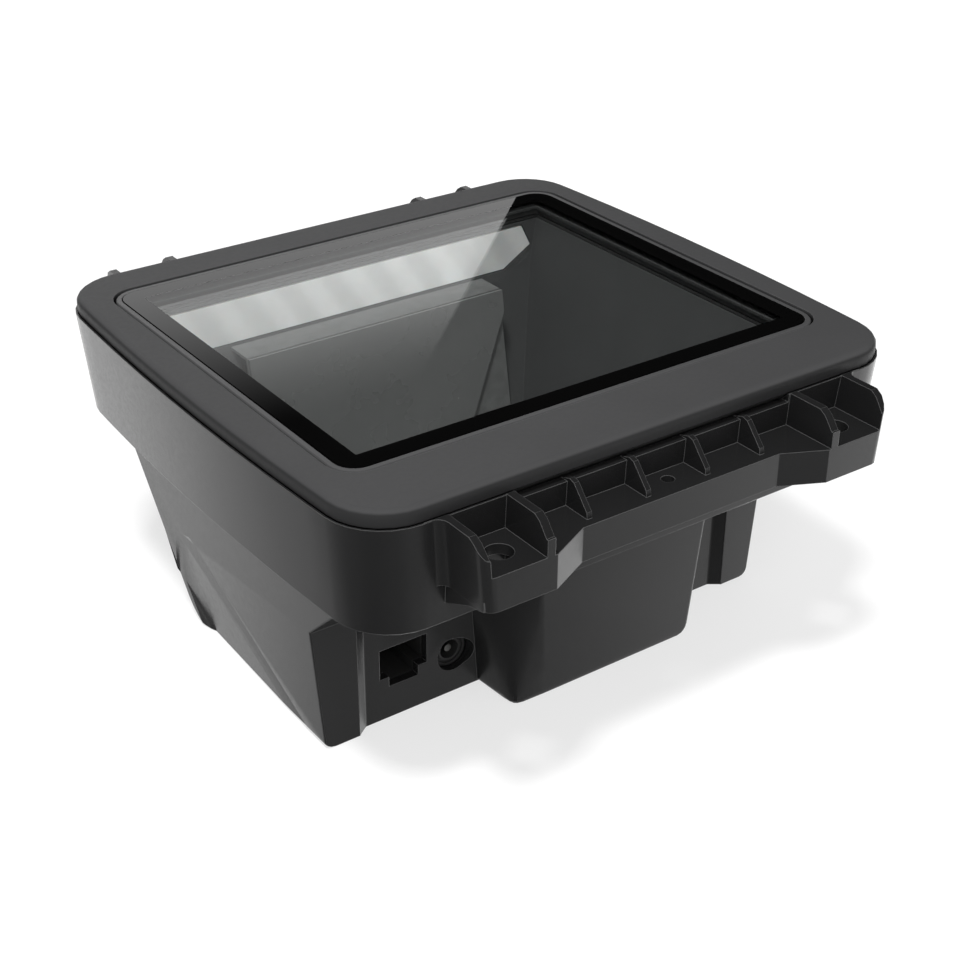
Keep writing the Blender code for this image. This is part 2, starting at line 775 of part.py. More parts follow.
def brace(side, end):
    """Thin web under the outer wall of an ear, down to the band."""
    near = band_face(FLANGE_BOTTOM) - HOUSING_WALL * 0.6
    out = EAR_REACH - EAR_CORNER / 2
    bend = near + (out - near) * 0.64
    low = FLANGE_BOTTOM - BRACE_DROP
    high = FLANGE_BOTTOM + FLANGE_LIP
    profile = [(near, low), (near + HOUSING_WALL * 0.4, low), (bend, FLANGE_BOTTOM - BRACE_DROP * 0.24)]
    profile += [(out, FLANGE_BOTTOM), (out, high), (near, high)]
    outer = EAR_OUTER - FIT_GAP / 3
    span = sorted((side * (outer - EAR_WALL), side * outer))
    return plate("brace", [(end * out, z) for out, z in profile], span[0], span[1], "X")


def gusset(x, end):
    """A rounded triangular plate that runs through the band wall and ties it to the flange."""
    slope = BEZEL_HALF_DEPTH - BEZEL_EDGE + FIT_GAP
    heel = GUSSET_PEAK - GUSSET_HEEL_DROP
    inner_low = SKIRT_BOTTOM - FIT_GAP / 3
    profile = [
        (GUSSET_FOOT, FLANGE_TOP - FLANGE_PLATE / 2),
        (GUSSET_FOOT, FLANGE_TOP),
        (GUSSET_FOOT - GUSSET_TOE_LEAN, FLANGE_TOP + GUSSET_ROUND),
        (GUSSET_PEAK_OUT + GUSSET_ROUND, GUSSET_PEAK - GUSSET_SHOULDER_DROP),
        (GUSSET_PEAK_OUT, GUSSET_PEAK),
        (heel + slope, heel),
        (inner_low + slope, inner_low),
        (inner_low + slope, FLANGE_TOP - FLANGE_PLATE),
        (band_face(FLANGE_BOTTOM) - HOUSING_WALL * 0.6, FLANGE_BOTTOM),
        (band_face(FLANGE_BOTTOM) - HOUSING_WALL * 0.4, FLANGE_TOP - FLANGE_PLATE / 2),
    ]
    half = GUSSET_THICK / 2
    return plate("gusset", [(end * out, z) for out, z in profile], x - half, x + half, "X")


def bezel_clearance():
    """Room for the bezel's tapered skirt, larger than it by the fit gap."""
    low = SKIRT_BOTTOM - SKIRT_THICK
    high = RIM_TOP + RIM_PROUD * 2
    rings = []
    for height in (low, high):
        rings.append(at_height(bowed_outline(BEZEL_EDGE - height - FIT_GAP), height))
    return loft("bezel_clearance", rings)


def tower_places():
    return [(x, y) for x in (-TOWER_X, TOWER_X) for y in (-TOWER_Y, TOWER_Y)]


def board_screw_places():
    return [(x, y) for x in (-BOARD_SCREW_X, BOARD_SCREW_X) for y in (BOARD_SCREW_FRONT, BOARD_SCREW_BACK)]


def hood_post_places():
    return [(x, HOOD_POST_Y) for x in (-HOOD_POST_X, HOOD_POST_X)]


def cut_network_mouth(body, front, back):
    """The socket mouth between two depths: a rectangle with a wide latch key below it."""
    half = NETWORK_WIDTH / 2
    key = NETWORK_KEY_WIDTH / 2
    middle = (NETWORK_BOTTOM + NETWORK_TOP) / 2
    cut(body, block("mouth", (NETWORK_X - half, front, NETWORK_BOTTOM), (NETWORK_X + half, back, NETWORK_TOP)))
    cut(body, block("key", (NETWORK_X - key, front, NETWORK_KEY_BOTTOM), (NETWORK_X + key, back, middle)))


def main_housing(look):
    body = lower_solid()
    cut(body, panel_cutter())
    join(body, box_solid(), band_solid())
    cut(body, recess_cutter(-1), recess_cutter(1))
    hollow = lower_cavity()
    join(hollow, box_cavity(), band_cavity())
    cut(body, hollow)
    sunk = FLOOR / 2
    for x, y in tower_places():
        join(body, rod("tower", TOWER_RADIUS, BAND_BOTTOM + sunk, TOWER_TOP, (x, y)))
    for x, y in board_screw_places():
        join(body, rod("post", BOARD_POST_RADIUS, sunk, BOARD_BOTTOM - FIT_GAP, (x, y), sides=16))
    post_top = HOOD_FLOOR - HOOD_WALL - FIT_GAP
    for x, y in hood_post_places():
        join(body, rod("post", HOOD_POST_RADIUS, sunk, post_top, (x, y), sides=16))
    foot_top = camera_foot_height() - FIT_GAP
    for x in camera_screw_x():
        place = (x, camera_screw_y())
        join(body, rod("post", BOARD_POST_RADIUS, CAVITY_FLOOR - sunk, foot_top, place, sides=16))
    for end in (-1, 1):
        join(body, flange_solid(end))
        join(body, brace(-1, end), brace(1, end))
    cut(body, bezel_clearance())
    notch = band_face(RIM_TOP)
    for end in (-1, 1):
        near, far = sorted((end * (notch - HOUSING_WALL * 2), end * (notch + HOUSING_WALL)))
        low = (-NOTCH_HALF_WIDTH, near, NOTCH_SILL)
        cut(body, block("notch", low, (NOTCH_HALF_WIDTH, far, EAR_WALL_TOP * 1.1)))
        for x in GUSSET_X:
            join(body, gusset(x, end))
        for side in (-1, 1):
            place = (side * EAR_HOLE_X, end * EAR_HOLE_OUT)
            cut(body, rod("hole", EAR_HOLE_RADIUS, FLANGE_BOTTOM, FLANGE_TOP * 1.1, place))
        cut(body, rod("hole", MID_HOLE_RADIUS, FLANGE_BOTTOM, FLANGE_TOP * 1.1, (0.0, end * MID_HOLE_OUT), sides=16))
    for x, y in tower_places():
        cut(body, rod("bore", SCREW_HEAD_RADIUS + FIT_GAP, -FLOOR, COUNTERBORE_TOP, (x, y)))
        cut(body, rod("bore", SCREW_SHANK_RADIUS + FIT_GAP, BAND_BOTTOM, TOWER_TOP * 1.1, (x, y), sides=16))
    bore = SMALL_SHANK_RADIUS + FIT_GAP
    for x, y in board_screw_places():
        cut(body, rod("bore", bore, CAVITY_FLOOR - sunk, BOARD_BOTTOM, (x, y), sides=12))
    for x, y in hood_post_places():
        cut(body, rod("bore", bore, post_top / 2, HOOD_FLOOR, (x, y), sides=12))
    for x in camera_screw_x():
        cut(body, rod("bore", bore, CAVITY_FLOOR, camera_foot_height(), (x, camera_screw_y()), sides=12))
    reach = LEG_FRONT + SHOULDER_REACH
    inside = PANEL_FRONT - HOUSING_WALL * 2
    cut_network_mouth(body, -reach, -inside)
    supply = (SUPPLY_X, SUPPLY_HEIGHT)
    cut(body, rod("supply_recess", SUPPLY_RECESS_RADIUS, -reach, -inside, supply, "Y", sides=32))
    return finish(body, "main_housing", look)


def window_outline(half_width, half_depth, corner, steps=6):
    return rectangle(half_width, half_depth, corner, 0.0, WINDOW_CENTRE, steps)


def bezel_screw_reach():
    return COUNTERBORE_TOP + BEZEL_SCREW_LENGTH


def top_bezel(look):
    under = BEZEL_EDGE - SKIRT_BOTTOM
    rings = [
        at_height(bowed_outline(under), SKIRT_BOTTOM),
        at_height(bowed_outline(BEZEL_UNDERCUT / 3), BEZEL_EDGE),
        at_height(bowed_outline(BEZEL_UNDERCUT / 6), BEZEL_EDGE + BEZEL_FILLET / 2),
    ]
    for step in range(5):
        angle = math.pi / 2 * step / 4
        inset = BEZEL_FILLET * (1 - math.cos(angle))
        rings.append(at_height(bowed_outline(inset), HEIGHT - BEZEL_FILLET * (1 - math.sin(angle))))
    body = loft("bezel", rings)
    low = SKIRT_BOTTOM - SKIRT_THICK
    hollow = []
    for height in (low, BEZEL_PLATE):
        hollow.append(at_height(bowed_outline(BEZEL_EDGE - height + SKIRT_THICK), height))
    cut(body, loft("hollow", hollow))
    lip = LEDGE_LIP
    aperture = window_outline(APERTURE_HALF_WIDTH + lip, APERTURE_HALF_DEPTH + lip, APERTURE_ROUND + lip)
    cut(body, plate("aperture", aperture, BEZEL_PLATE - SKIRT_THICK, HEIGHT * 1.1))
    channel = window_outline(CHANNEL_HALF_WIDTH, CHANNEL_HALF_DEPTH, CHANNEL_CORNER)
    cut(body, plate("channel", channel, CHANNEL_FLOOR, HEIGHT * 1.1))
    boss_radius = TOWER_RADIUS * 0.8
    for x, y in tower_places():
        join(body, rod("boss", boss_radius, TOWER_TOP + FIT_GAP, BEZEL_PLATE + SKIRT_THICK / 2, (x, y)))
        high = bezel_screw_reach() + FIT_GAP * 2
        cut(body, rod("bore", SCREW_SHANK_RADIUS + FIT_GAP, TOWER_TOP - FLOOR, high, (x, y), sides=16))
    return finish(body, "top_bezel", look)


def frame_outer():
    return CHANNEL_HALF_WIDTH - FRAME_GROOVE, CHANNEL_HALF_DEPTH - FRAME_GROOVE, CHANNEL_CORNER - FRAME_GROOVE


def glass_edge():
    width, depth, corner = frame_outer()
    inset = FRAME_WIDTH + FIT_GAP
    return width - inset, depth - inset, corner - inset


def window_frame(look):
    """Thin trim ring that stands round the glass in the bezel's channel."""
    width, depth, corner = frame_outer()
    low = CHANNEL_FLOOR + FIT_GAP
    high = HEIGHT - FRAME_SINK
    edge = FRAME_EDGE
    rings = [
        at_height(window_outline(width, depth, corner), low),
        at_height(window_outline(width, depth, corner), high - edge),
        at_height(window_outline(width - edge, depth - edge, corner - edge), high),
    ]
    body = loft("frame", rings)
    inner = window_outline(width - FRAME_WIDTH, depth - FRAME_WIDTH, corner - FRAME_WIDTH)
    cut(body, plate("inside", inner, low - FLOOR, HEIGHT * 1.1))
    return finish(body, "window_frame", look)


def gasket_bottom():
    return CHANNEL_FLOOR + FIT_GAP


def glass_bottom():
    return gasket_bottom() + GASKET_THICK + FIT_GAP


def window_gasket(look):
    """Black border pad between the glass and the bezel's ledge."""
    width, depth, corner = glass_edge()
    low = gasket_bottom()
    body = plate("gasket", window_outline(width, depth, corner), low, low + GASKET_THICK)
    inner = window_outline(APERTURE_HALF_WIDTH, APERTURE_HALF_DEPTH, APERTURE_ROUND, 2)
    cut(body, plate("inside", inner, low - FLOOR, low + FLOOR))
    return finish(body, "window_gasket", look)


def window_glass(look):
    width, depth, corner = glass_edge()
    body = plate("glass", window_outline(width, depth, corner), glass_bottom(), glass_bottom() + GLASS_THICK)
    return finish(body, "window_glass", look)


def hood_ring(height, wall=0.0):
    """Level section of the optics hood: a funnel that narrows in two straight stages."""
    top_x = APERTURE_HALF_WIDTH + HOOD_TOP_MARGIN
    top_front = WINDOW_CENTRE - APERTURE_HALF_DEPTH - HOOD_TOP_MARGIN
    top_back = WINDOW_CENTRE + APERTURE_HALF_DEPTH + HOOD_TOP_MARGIN
    top = (HOOD_TOP, top_x, top_front, top_back)
    shelf = (HOOD_SHELF, HOOD_SHELF_HALF_WIDTH, HOOD_SHELF_FRONT, HOOD_SHELF_BACK)
    floor = (HOOD_FLOOR, HOOD_FLOOR_HALF_WIDTH, HOOD_FLOOR_FRONT, HOOD_FLOOR_BACK)
    lower, upper = (floor, shelf) if height < HOOD_SHELF else (shelf, top)
    share = (height - lower[0]) / (upper[0] - lower[0])
    half, front, back = (low + (high - low) * share for low, high in zip(lower[1:], upper[1:]))
    return [
        (half + wall, front - wall, height),
        (half + wall, back + wall, height),
        (-half - wall, back + wall, height),
        (-half - wall, front - wall, height),
    ]


def back_wall_place(depth_behind):
    """Frame on the hood's upper back wall: x across, y up the wall, z into the hood."""
    top_back = WINDOW_CENTRE + APERTURE_HALF_DEPTH + HOOD_TOP_MARGIN
    lean = math.atan2(top_back - HOOD_SHELF_BACK, HOOD_TOP - HOOD_SHELF)
    turn = Matrix.Rotation(math.radians(90) - lean, 4, "X")
    start = Matrix.Translation((0.0, HOOD_SHELF_BACK, HOOD_SHELF))
    return start @ turn @ Matrix.Translation((0.0, 0.0, -depth_behind))


def diffuser_outline(grow=0.0):
    low = DIFFUSER_RISE
    high = DIFFUSER_RISE + DIFFUSER_HEIGHT
    middle = DIFFUSER_RISE + DIFFUSER_END_HEIGHT
    foot = DIFFUSER_FOOT_HALF + grow
    end = DIFFUSER_END_HALF - HOOD_WALL + grow
    top = DIFFUSER_TOP_HALF + grow
    return [
        (-foot, low - grow),
        (foot, low - grow),
        (end, middle),
        (top, high + grow),
        (-top, high + grow),
        (-end, middle),
    ]


def optics_hood(look):
    levels = [HOOD_FLOOR - HOOD_WALL, HOOD_SHELF, HOOD_TOP]
    body = loft("hood", [hood_ring(z, HOOD_WALL) for z in levels])
    inner = [hood_ring(z) for z in (HOOD_FLOOR, HOOD_SHELF, HOOD_TOP + HOOD_WALL)]
    cut(body, loft("funnel", inner))
    opening = plate("opening", diffuser_outline(FIT_GAP), -HOOD_WALL * 3, HOOD_WALL * 2, place=back_wall_place(0.0))
    cut(body, opening)
    for x, y in hood_post_places():
        cut(body, rod("bore", SMALL_SHANK_RADIUS + FIT_GAP, 0.0, HOOD_FLOOR * 1.2, (x, y), sides=12))
    reach = BARREL_LENGTH + LENS_BASE_LENGTH
    cut(body, rod("eye", CAMERA_HOLE_RADIUS, reach * 0.3, reach * 2, place=camera_place()))
    return finish(body, "optics_hood", look)


def dust_seal(look):
    """Foam ring between the top of the hood and the underside of the bezel."""
    low = HOOD_TOP + FIT_GAP
    outer = [(x, y) for x, y, z in hood_ring(HOOD_TOP, HOOD_WALL)]
    inner = [(x, y) for x, y, z in hood_ring(HOOD_TOP)]
    body = plate("seal", outer, low, low + SEAL_THICK)
    cut(body, plate("inside", inner, low - FLOOR, low + FLOOR))
    return finish(body, "dust_seal", look)


def mirror_place():
    """Frame on the mirror's front face: x across, y down the face, z to the back."""
    turn = Matrix.Rotation(math.radians(-90) - MIRROR_TILT, 4, "X")
    return Matrix.Translation((0.0, MIRROR_TOP_OUT, MIRROR_TOP)) @ turn


def mirror_bracket(look):
    """Sheet bent over at the top into a shelf that reaches the hood's back wall."""
    sheet = BRACKET_SHEET
    slope = math.tan(MIRROR_TILT)
    front = MIRROR_TOP_OUT + FIT_GAP + MIRROR_THICK / math.cos(MIRROR_TILT)
    low = MIRROR_TOP - MIRROR_LENGTH * math.cos(MIRROR_TILT)
    foot = front - (MIRROR_TOP - low) * slope
    shelf = HOOD_SHELF_BACK - FIT_GAP * 2
    lower = MIRROR_TOP - sheet
    profile = [
        (front, MIRROR_TOP),
        (foot, low),
        (foot + sheet, low),
        (front + sheet - sheet * slope, lower),
        (shelf - FIT_GAP * 2, lower),
        (shelf - FIT_GAP, MIRROR_TOP),
    ]
    body = plate("bracket", profile, -MIRROR_HALF_WIDTH, MIRROR_HALF_WIDTH, "X")
    return finish(body, "mirror_bracket", look)


def mirror(look):
    """Fold mirror with its lower sides cut off at a slant."""
    outline = [
        (-MIRROR_HALF_WIDTH, 0.0),
        (-MIRROR_HALF_WIDTH, MIRROR_SQUARE_PART),
        (-MIRROR_FOOT_HALF_WIDTH, MIRROR_LENGTH),
        (MIRROR_FOOT_HALF_WIDTH, MIRROR_LENGTH),
        (MIRROR_HALF_WIDTH, MIRROR_SQUARE_PART),
        (MIRROR_HALF_WIDTH, 0.0),
    ]
    body = plate("mirror", outline, 0.0, MIRROR_THICK, place=mirror_place())
    return finish(body, "mirror", look)


def light_diffuser(look):
    body = plate("diffuser", diffuser_outline(), 0.0, DIFFUSER_THICK, place=back_wall_place(DIFFUSER_THICK))
    return finish(body, "light_diffuser", look)


def led_behind():
    return DIFFUSER_THICK + FIT_GAP + LED_HEIGHT


def leds(look):
    height = DIFFUSER_RISE + DIFFUSER_HEIGHT / 2
    half = LED_SIZE / 2
    place = back_wall_place(led_behind())
    for index in range(LED_COUNT):
        x = (index - (LED_COUNT - 1) / 2) * LED_PITCH
        led = block("led", (x - half, height - half, 0.0), (x + half, height + half, LED_HEIGHT), place)
        finish(led, f"led_{index + 1}", look)


def light_board(look):
    height = DIFFUSER_RISE + DIFFUSER_HEIGHT / 2
    half = DIFFUSER_HEIGHT / 2 + LIGHT_BOARD_MARGIN
    across = (LED_COUNT * LED_PITCH) / 2 + LIGHT_BOARD_MARGIN
    place = back_wall_place(led_behind() + FIT_GAP + LIGHT_BOARD_THICK)
    outline = rectangle(across, half, LIGHT_BOARD_MARGIN, 0.0, height, 3)
    body = plate("light_board", outline, 0.0, LIGHT_BOARD_THICK, place=place)
    return finish(body, "light_board", look)


def camera_place():
    """Frame at the front of the camera board: z along the lens axis, towards the mirror."""
    turn = Matrix.Rotation(math.radians(-90) + CAMERA_TILT, 4, "X")
    return Matrix.Translation((0.0, -CAMERA_OUT, CAMERA_HEIGHT)) @ turn


def camera_screw_x():
    return (-CAMERA_SCREW_SPAN / 2, CAMERA_SCREW_SPAN / 2)


def camera_screw_y():
    return -PANEL_FRONT + CAMERA_SCREW_SET


def camera_foot_height():
    return CAVITY_FLOOR + HOUSING_WALL


def camera_bracket(look):
    """Bent sheet: a foot screwed to the housing floor and an upright behind the camera board."""
    sheet = CAMERA_SHEET
    back = -CAMERA_OUT - (CAMERA_BOARD_THICK + FIT_GAP) / math.cos(CAMERA_TILT)
    slope = math.tan(CAMERA_TILT)
    low = camera_foot_height()
    high = CAMERA_HEIGHT + CAMERA_BOARD_HEIGHT / 2

    def upright(height):
        return back - (height - CAMERA_HEIGHT) * slope

    toe = camera_screw_y() + BOARD_POST_RADIUS
    profile = [
        (upright(low), low),
        (toe, low),
        (toe, low + sheet),
        (upright(low + sheet), low + sheet),
        (upright(high), high),
        (upright(high) - sheet, high),
        (upright(low) - sheet, low),
    ]
    half = CAMERA_BOARD_WIDTH / 2
    body = plate("bracket", profile, -half, half, "X")
    for x in camera_screw_x():
        bore = SMALL_SHANK_RADIUS + FIT_GAP
        cut(body, rod("bore", bore, low - sheet, low + sheet * 2, (x, camera_screw_y()), sides=12))
    return finish(body, "camera_bracket", look)


def camera_board(look):
    half = CAMERA_BOARD_WIDTH / 2
    tall = CAMERA_BOARD_HEIGHT / 2
    outline = rectangle(half, tall, CAMERA_BOARD_THICK, steps=3)
    body = plate("camera_board", outline, -CAMERA_BOARD_THICK, 0.0, place=camera_place())
    return finish(body, "camera_board", look)


def lens_holder(look):
    """Square base and round barrel, hollow from the front down to the lens seat."""
    half = LENS_BASE / 2
    base = FIT_GAP
    top = base + LENS_BASE_LENGTH
    body = block("base", (-half, -half, base), (half, half, top), camera_place())
    join(body, rod("barrel", BARREL_RADIUS, base + top / 2, top + BARREL_LENGTH, sides=32, place=camera_place()))
    mouth = top + BARREL_LENGTH
    seat = mouth - LENS_THICK * 2.5
    cut(body, rod("bore", LENS_RADIUS + FIT_GAP, seat, mouth + LENS_THICK, sides=32, place=camera_place()))
    cut(body, rod("flare", LENS_RADIUS, mouth - LENS_THICK, mouth + LENS_THICK, sides=32,
                  top_radius=BARREL_RADIUS + LENS_THICK, place=camera_place()))
    return finish(body, "lens_holder", look)


def camera_lens(look):
    """Lens disc with a domed front, turned about the lens axis."""
    seat = FIT_GAP + LENS_BASE_LENGTH + BARREL_LENGTH - LENS_THICK * 2.5 + FIT_GAP
    body = rod("lens", LENS_RADIUS, seat, seat + LENS_THICK / 2, sides=32, place=camera_place())
    join(body, rod("dome", LENS_RADIUS * 0.92, seat + LENS_THICK / 4, seat + LENS_THICK, sides=32,
                   top_radius=LENS_RADIUS * 0.6, place=camera_place()))
    return finish(body, "camera_lens", look)


def board_top():
    return BOARD_BOTTOM + BOARD_THICK


def main_board(look):
    width = BOARD_HALF_WIDTH
    corners = [
        (width, BOARD_FRONT, BOARD_THICK),
        (width, BOARD_BACK, BOARD_THICK),
        (-width, BOARD_BACK, BOARD_THICK),
        (-width, BOARD_FRONT, BOARD_THICK),
    ]
    body = plate("board", rounded(corners, 3), BOARD_BOTTOM, board_top())
    for x, y in board_screw_places():
        cut(body, rod("bore", SMALL_SHANK_RADIUS + FIT_GAP, 0.0, board_top() * 2, (x, y), sides=12))
    for x, y in hood_post_places():
        cut(body, rod("pass", HOOD_POST_RADIUS + FIT_GAP * 2, 0.0, board_top() * 2, (x, y), sides=16))
    half = CAMERA_BOARD_WIDTH / 2 + FIT_GAP * 3
    toe = camera_screw_y() + BOARD_POST_RADIUS + FIT_GAP * 3
    cut(body, block("bay", (-half, BOARD_FRONT - FLOOR, 0.0), (half, toe, board_top() * 2)))
    return finish(body, "main_board", look)


def chip(name, x, y, size_x, size_y, height, look):
    """A moulded package with a chamfered pin-one corner, seated on the main board."""
    half_x = size_x / 2
    half_y = size_y / 2
    notch = size_y / 8
    outline = [
        (x - half_x + notch, y - half_y),
        (x + half_x, y - half_y),
        (x + half_x, y + half_y),
        (x - half_x, y + half_y),
        (x - half_x, y - half_y + notch),
    ]
    low = board_top() + FIT_GAP
    return finish(plate(name, outline, low, low + height), name, look)


def capacitor(name, x, y, look):
    """Can capacitor with a square foot and a rolled waist."""
    low = board_top() + FIT_GAP
    radius = CAPACITOR_RADIUS
    foot = radius * 1.05
    height = CAPACITOR_HEIGHT
    waist = low + height * 0.3
    body = block(name, (x - foot, y - foot, low), (x + foot, y + foot, low + height * 0.12))
    join(body, rod("can", radius, low + height * 0.06, waist, (x, y)))
    join(body, rod("neck", radius * 0.9, waist - height * 0.02, waist + height * 0.1, (x, y)))
    join(body, rod("top", radius, waist + height * 0.07, low + height, (x, y)))
    return finish(body, name, look)


def buzzer(look):
    low = board_top() + FIT_GAP
    radius = BUZZER_RADIUS
    height = BUZZER_HEIGHT
    body = rod("buzzer", radius, low, low + height, BUZZER_PLACE, sides=32)
    cut(body, rod("sound_hole", radius * 0.2, low + height * 0.5, low + height * 1.5, BUZZER_PLACE, sides=16))
    return finish(body, "buzzer", look)


def network_jack(look):
    """Eight way socket block behind the panel, hollow to the front, with its spring contacts."""
    front = -PANEL_FRONT + HOUSING_WALL + FIT_GAP
    half = NETWORK_WIDTH / 2 + NETWORK_SHELL
    low = (NETWORK_X - half, front, board_top() + FIT_GAP)
    high = (NETWORK_X + half, front + NETWORK_LENGTH, NETWORK_TOP + NETWORK_SHELL)
    body = block("jack", low, high)
    cut_network_mouth(body, front - FLOOR, front + NETWORK_DEPTH)
    thick = CONTACT_THICK / 2
    reach = front + NETWORK_DEPTH
    drop = (NETWORK_TOP - NETWORK_BOTTOM) * 0.45
    for index in range(CONTACT_COUNT):
        x = NETWORK_X + (index - (CONTACT_COUNT - 1) / 2) * CONTACT_PITCH
        top = NETWORK_TOP + NETWORK_SHELL / 2
        profile = [
            (front + NETWORK_DEPTH * 0.25, top),
            (front + NETWORK_DEPTH * 0.25, NETWORK_TOP - CONTACT_THICK),
            (reach - NETWORK_DEPTH * 0.15, NETWORK_TOP - drop),
            (reach - NETWORK_DEPTH * 0.1, NETWORK_TOP - drop),
            (front + NETWORK_DEPTH * 0.4, top),
        ]
        join(body, plate("contact", profile, x - thick, x + thick, "X"))
    return finish(body, "network_jack", look)


def supply_jack(look):
    """Round supply socket: body on the board, collar in the panel recess, bore and centre pin."""
    face = -PANEL_FRONT + SUPPLY_SINK
    inside = -PANEL_FRONT + HOUSING_WALL + FIT_GAP
    collar = SUPPLY_RECESS_RADIUS - FIT_GAP
    place = (SUPPLY_X, SUPPLY_HEIGHT)
    low = (SUPPLY_X - collar, inside, board_top() + FIT_GAP)
    high = (SUPPLY_X + collar, inside + SUPPLY_LENGTH, SUPPLY_HEIGHT + collar)
    body = block("supply", low, high)
    edge = board_top() + FIT_GAP
    collar_rod = rod("collar", collar, face, inside + FLOOR, place, "Y", sides=32)
    wide = collar * 2
    cut(collar_rod, block("shave", (SUPPLY_X - wide, inside - FIT_GAP, 0.0), (SUPPLY_X + wide, inside + FLOOR * 2, edge)))
    join(body, collar_rod)
    depth = face + SUPPLY_BORE_DEPTH
    cut(body, rod("bore", SUPPLY_BORE_RADIUS, face - FLOOR, depth, place, "Y", sides=24))
    groove = rod("groove", SUPPLY_GROOVE_OUTER, face - FLOOR, face + FIT_GAP * 2, place, "Y", sides=32)
    cut(groove, rod("core", SUPPLY_GROOVE_INNER, face - FLOOR * 2, face + FLOOR, place, "Y", sides=32))
    cut(body, groove)
    join(body, rod("pin", SUPPLY_PIN_RADIUS, face + FIT_GAP * 2, depth + FLOOR / 2, place, "Y", sides=16))
    return finish(body, "supply_jack", look)


def screw(name, x, y, seat, length, head_radius, head_height, shank_radius, facing, look):
    """Cross recess screw: facing 1 has its head above the seat, facing -1 below it."""
    low, high = sorted((seat + facing * FIT_GAP, seat + facing * (FIT_GAP + head_height)))
    body = rod(name, head_radius, low, high, (x, y), sides=20)
    start, stop = sorted((seat + facing * (FIT_GAP + head_height / 3), seat - facing * length))
    join(body, rod("shank", shank_radius, start, stop, (x, y), sides=12))
    outer_face = seat + facing * (FIT_GAP + head_height)
    low, high = sorted((outer_face - facing * SOCKET_DEPTH, outer_face + facing * SOCKET_DEPTH))
    long = head_radius * 0.6
    thin = head_radius * 0.14
    cross = block("slot", (x - long, y - thin, low), (x + long, y + thin, high))
    join(cross, block("slot", (x - thin, y - long, low), (x + thin, y + long, high)))
    cut(body, cross)
    return finish(body, name, look)


def screws(look):
    for index, (x, y) in enumerate(tower_places()):
        screw(f"bezel_screw_{index + 1}", x, y, COUNTERBORE_TOP, BEZEL_SCREW_LENGTH,
              SCREW_HEAD_RADIUS, SCREW_HEAD_HEIGHT, SCREW_SHANK_RADIUS, -1, look)
    small = (SMALL_HEAD_RADIUS, SMALL_HEAD_HEIGHT, SMALL_SHANK_RADIUS, 1, look)
    board_length = board_top() - CAVITY_FLOOR + FLOOR / 2 - FIT_GAP
    for index, (x, y) in enumerate(board_screw_places()):
        screw(f"board_screw_{index + 1}", x, y, board_top(), board_length, *small)
    for index, (x, y) in enumerate(hood_post_places()):
        screw(f"hood_screw_{index + 1}", x, y, HOOD_FLOOR, HOOD_FLOOR / 3, *small)
    foot = camera_foot_height() + CAMERA_SHEET
    for index, x in enumerate(camera_screw_x()):
        length = foot - CAVITY_FLOOR - FIT_GAP
        screw(f"bracket_screw_{index + 1}", x, camera_screw_y(), foot, length, *small)


def cable_connector(look):
    """Low slotted connector for the camera's flat cable."""
    low = board_top() + FIT_GAP
    y = cable_connector_y()
    half = CONNECTOR_WIDTH / 2
    body = block("connector", (-half, y, low), (half, y + CONNECTOR_DEPTH, low + CONNECTOR_HEIGHT))
    return finish(body, "cable_connector", look)


def cable_connector_y():
    return camera_screw_y() + BOARD_POST_RADIUS + CONNECTOR_SET


def flat_cable(look):
    """Ribbon from the foot of the camera board down to its connector, bent in a loop."""
    foot = camera_place() @ Vector((0.0, CAMERA_BOARD_HEIGHT / 2 - CAMERA_BOARD_THICK, FIT_GAP))
    start = Vector((foot.y, foot.z))
    end = Vector((cable_connector_y() - FIT_GAP, board_top() + FIT_GAP + CONNECTOR_HEIGHT / 2))
    first = start + Vector((CONNECTOR_SET * 1.5, -CONNECTOR_SET / 2))
    second = end + Vector((-CONNECTOR_SET, CONNECTOR_SET / 4))
    middle = []
    steps = 10
    for step in range(steps + 1):
        t = step / steps
        point = start * (1 - t) ** 3 + first * 3 * t * (1 - t) ** 2
        point += second * 3 * t ** 2 * (1 - t) + end * t ** 3
        middle.append(point)
    upper = []
    lower = []
    for index, point in enumerate(middle):
        before = middle[max(index - 1, 0)]
        after = middle[min(index + 1, steps)]
        along = (after - before).normalized()
        side = Vector((-along.y, along.x)) * RIBBON_THICK / 2
        upper.append(tuple(point + side))
        lower.append(tuple(point - side))
    half = RIBBON_WIDTH / 2
    body = plate("cable", upper + lower[::-1], -half, half, "X")
    return finish(body, "flat_cable", look)


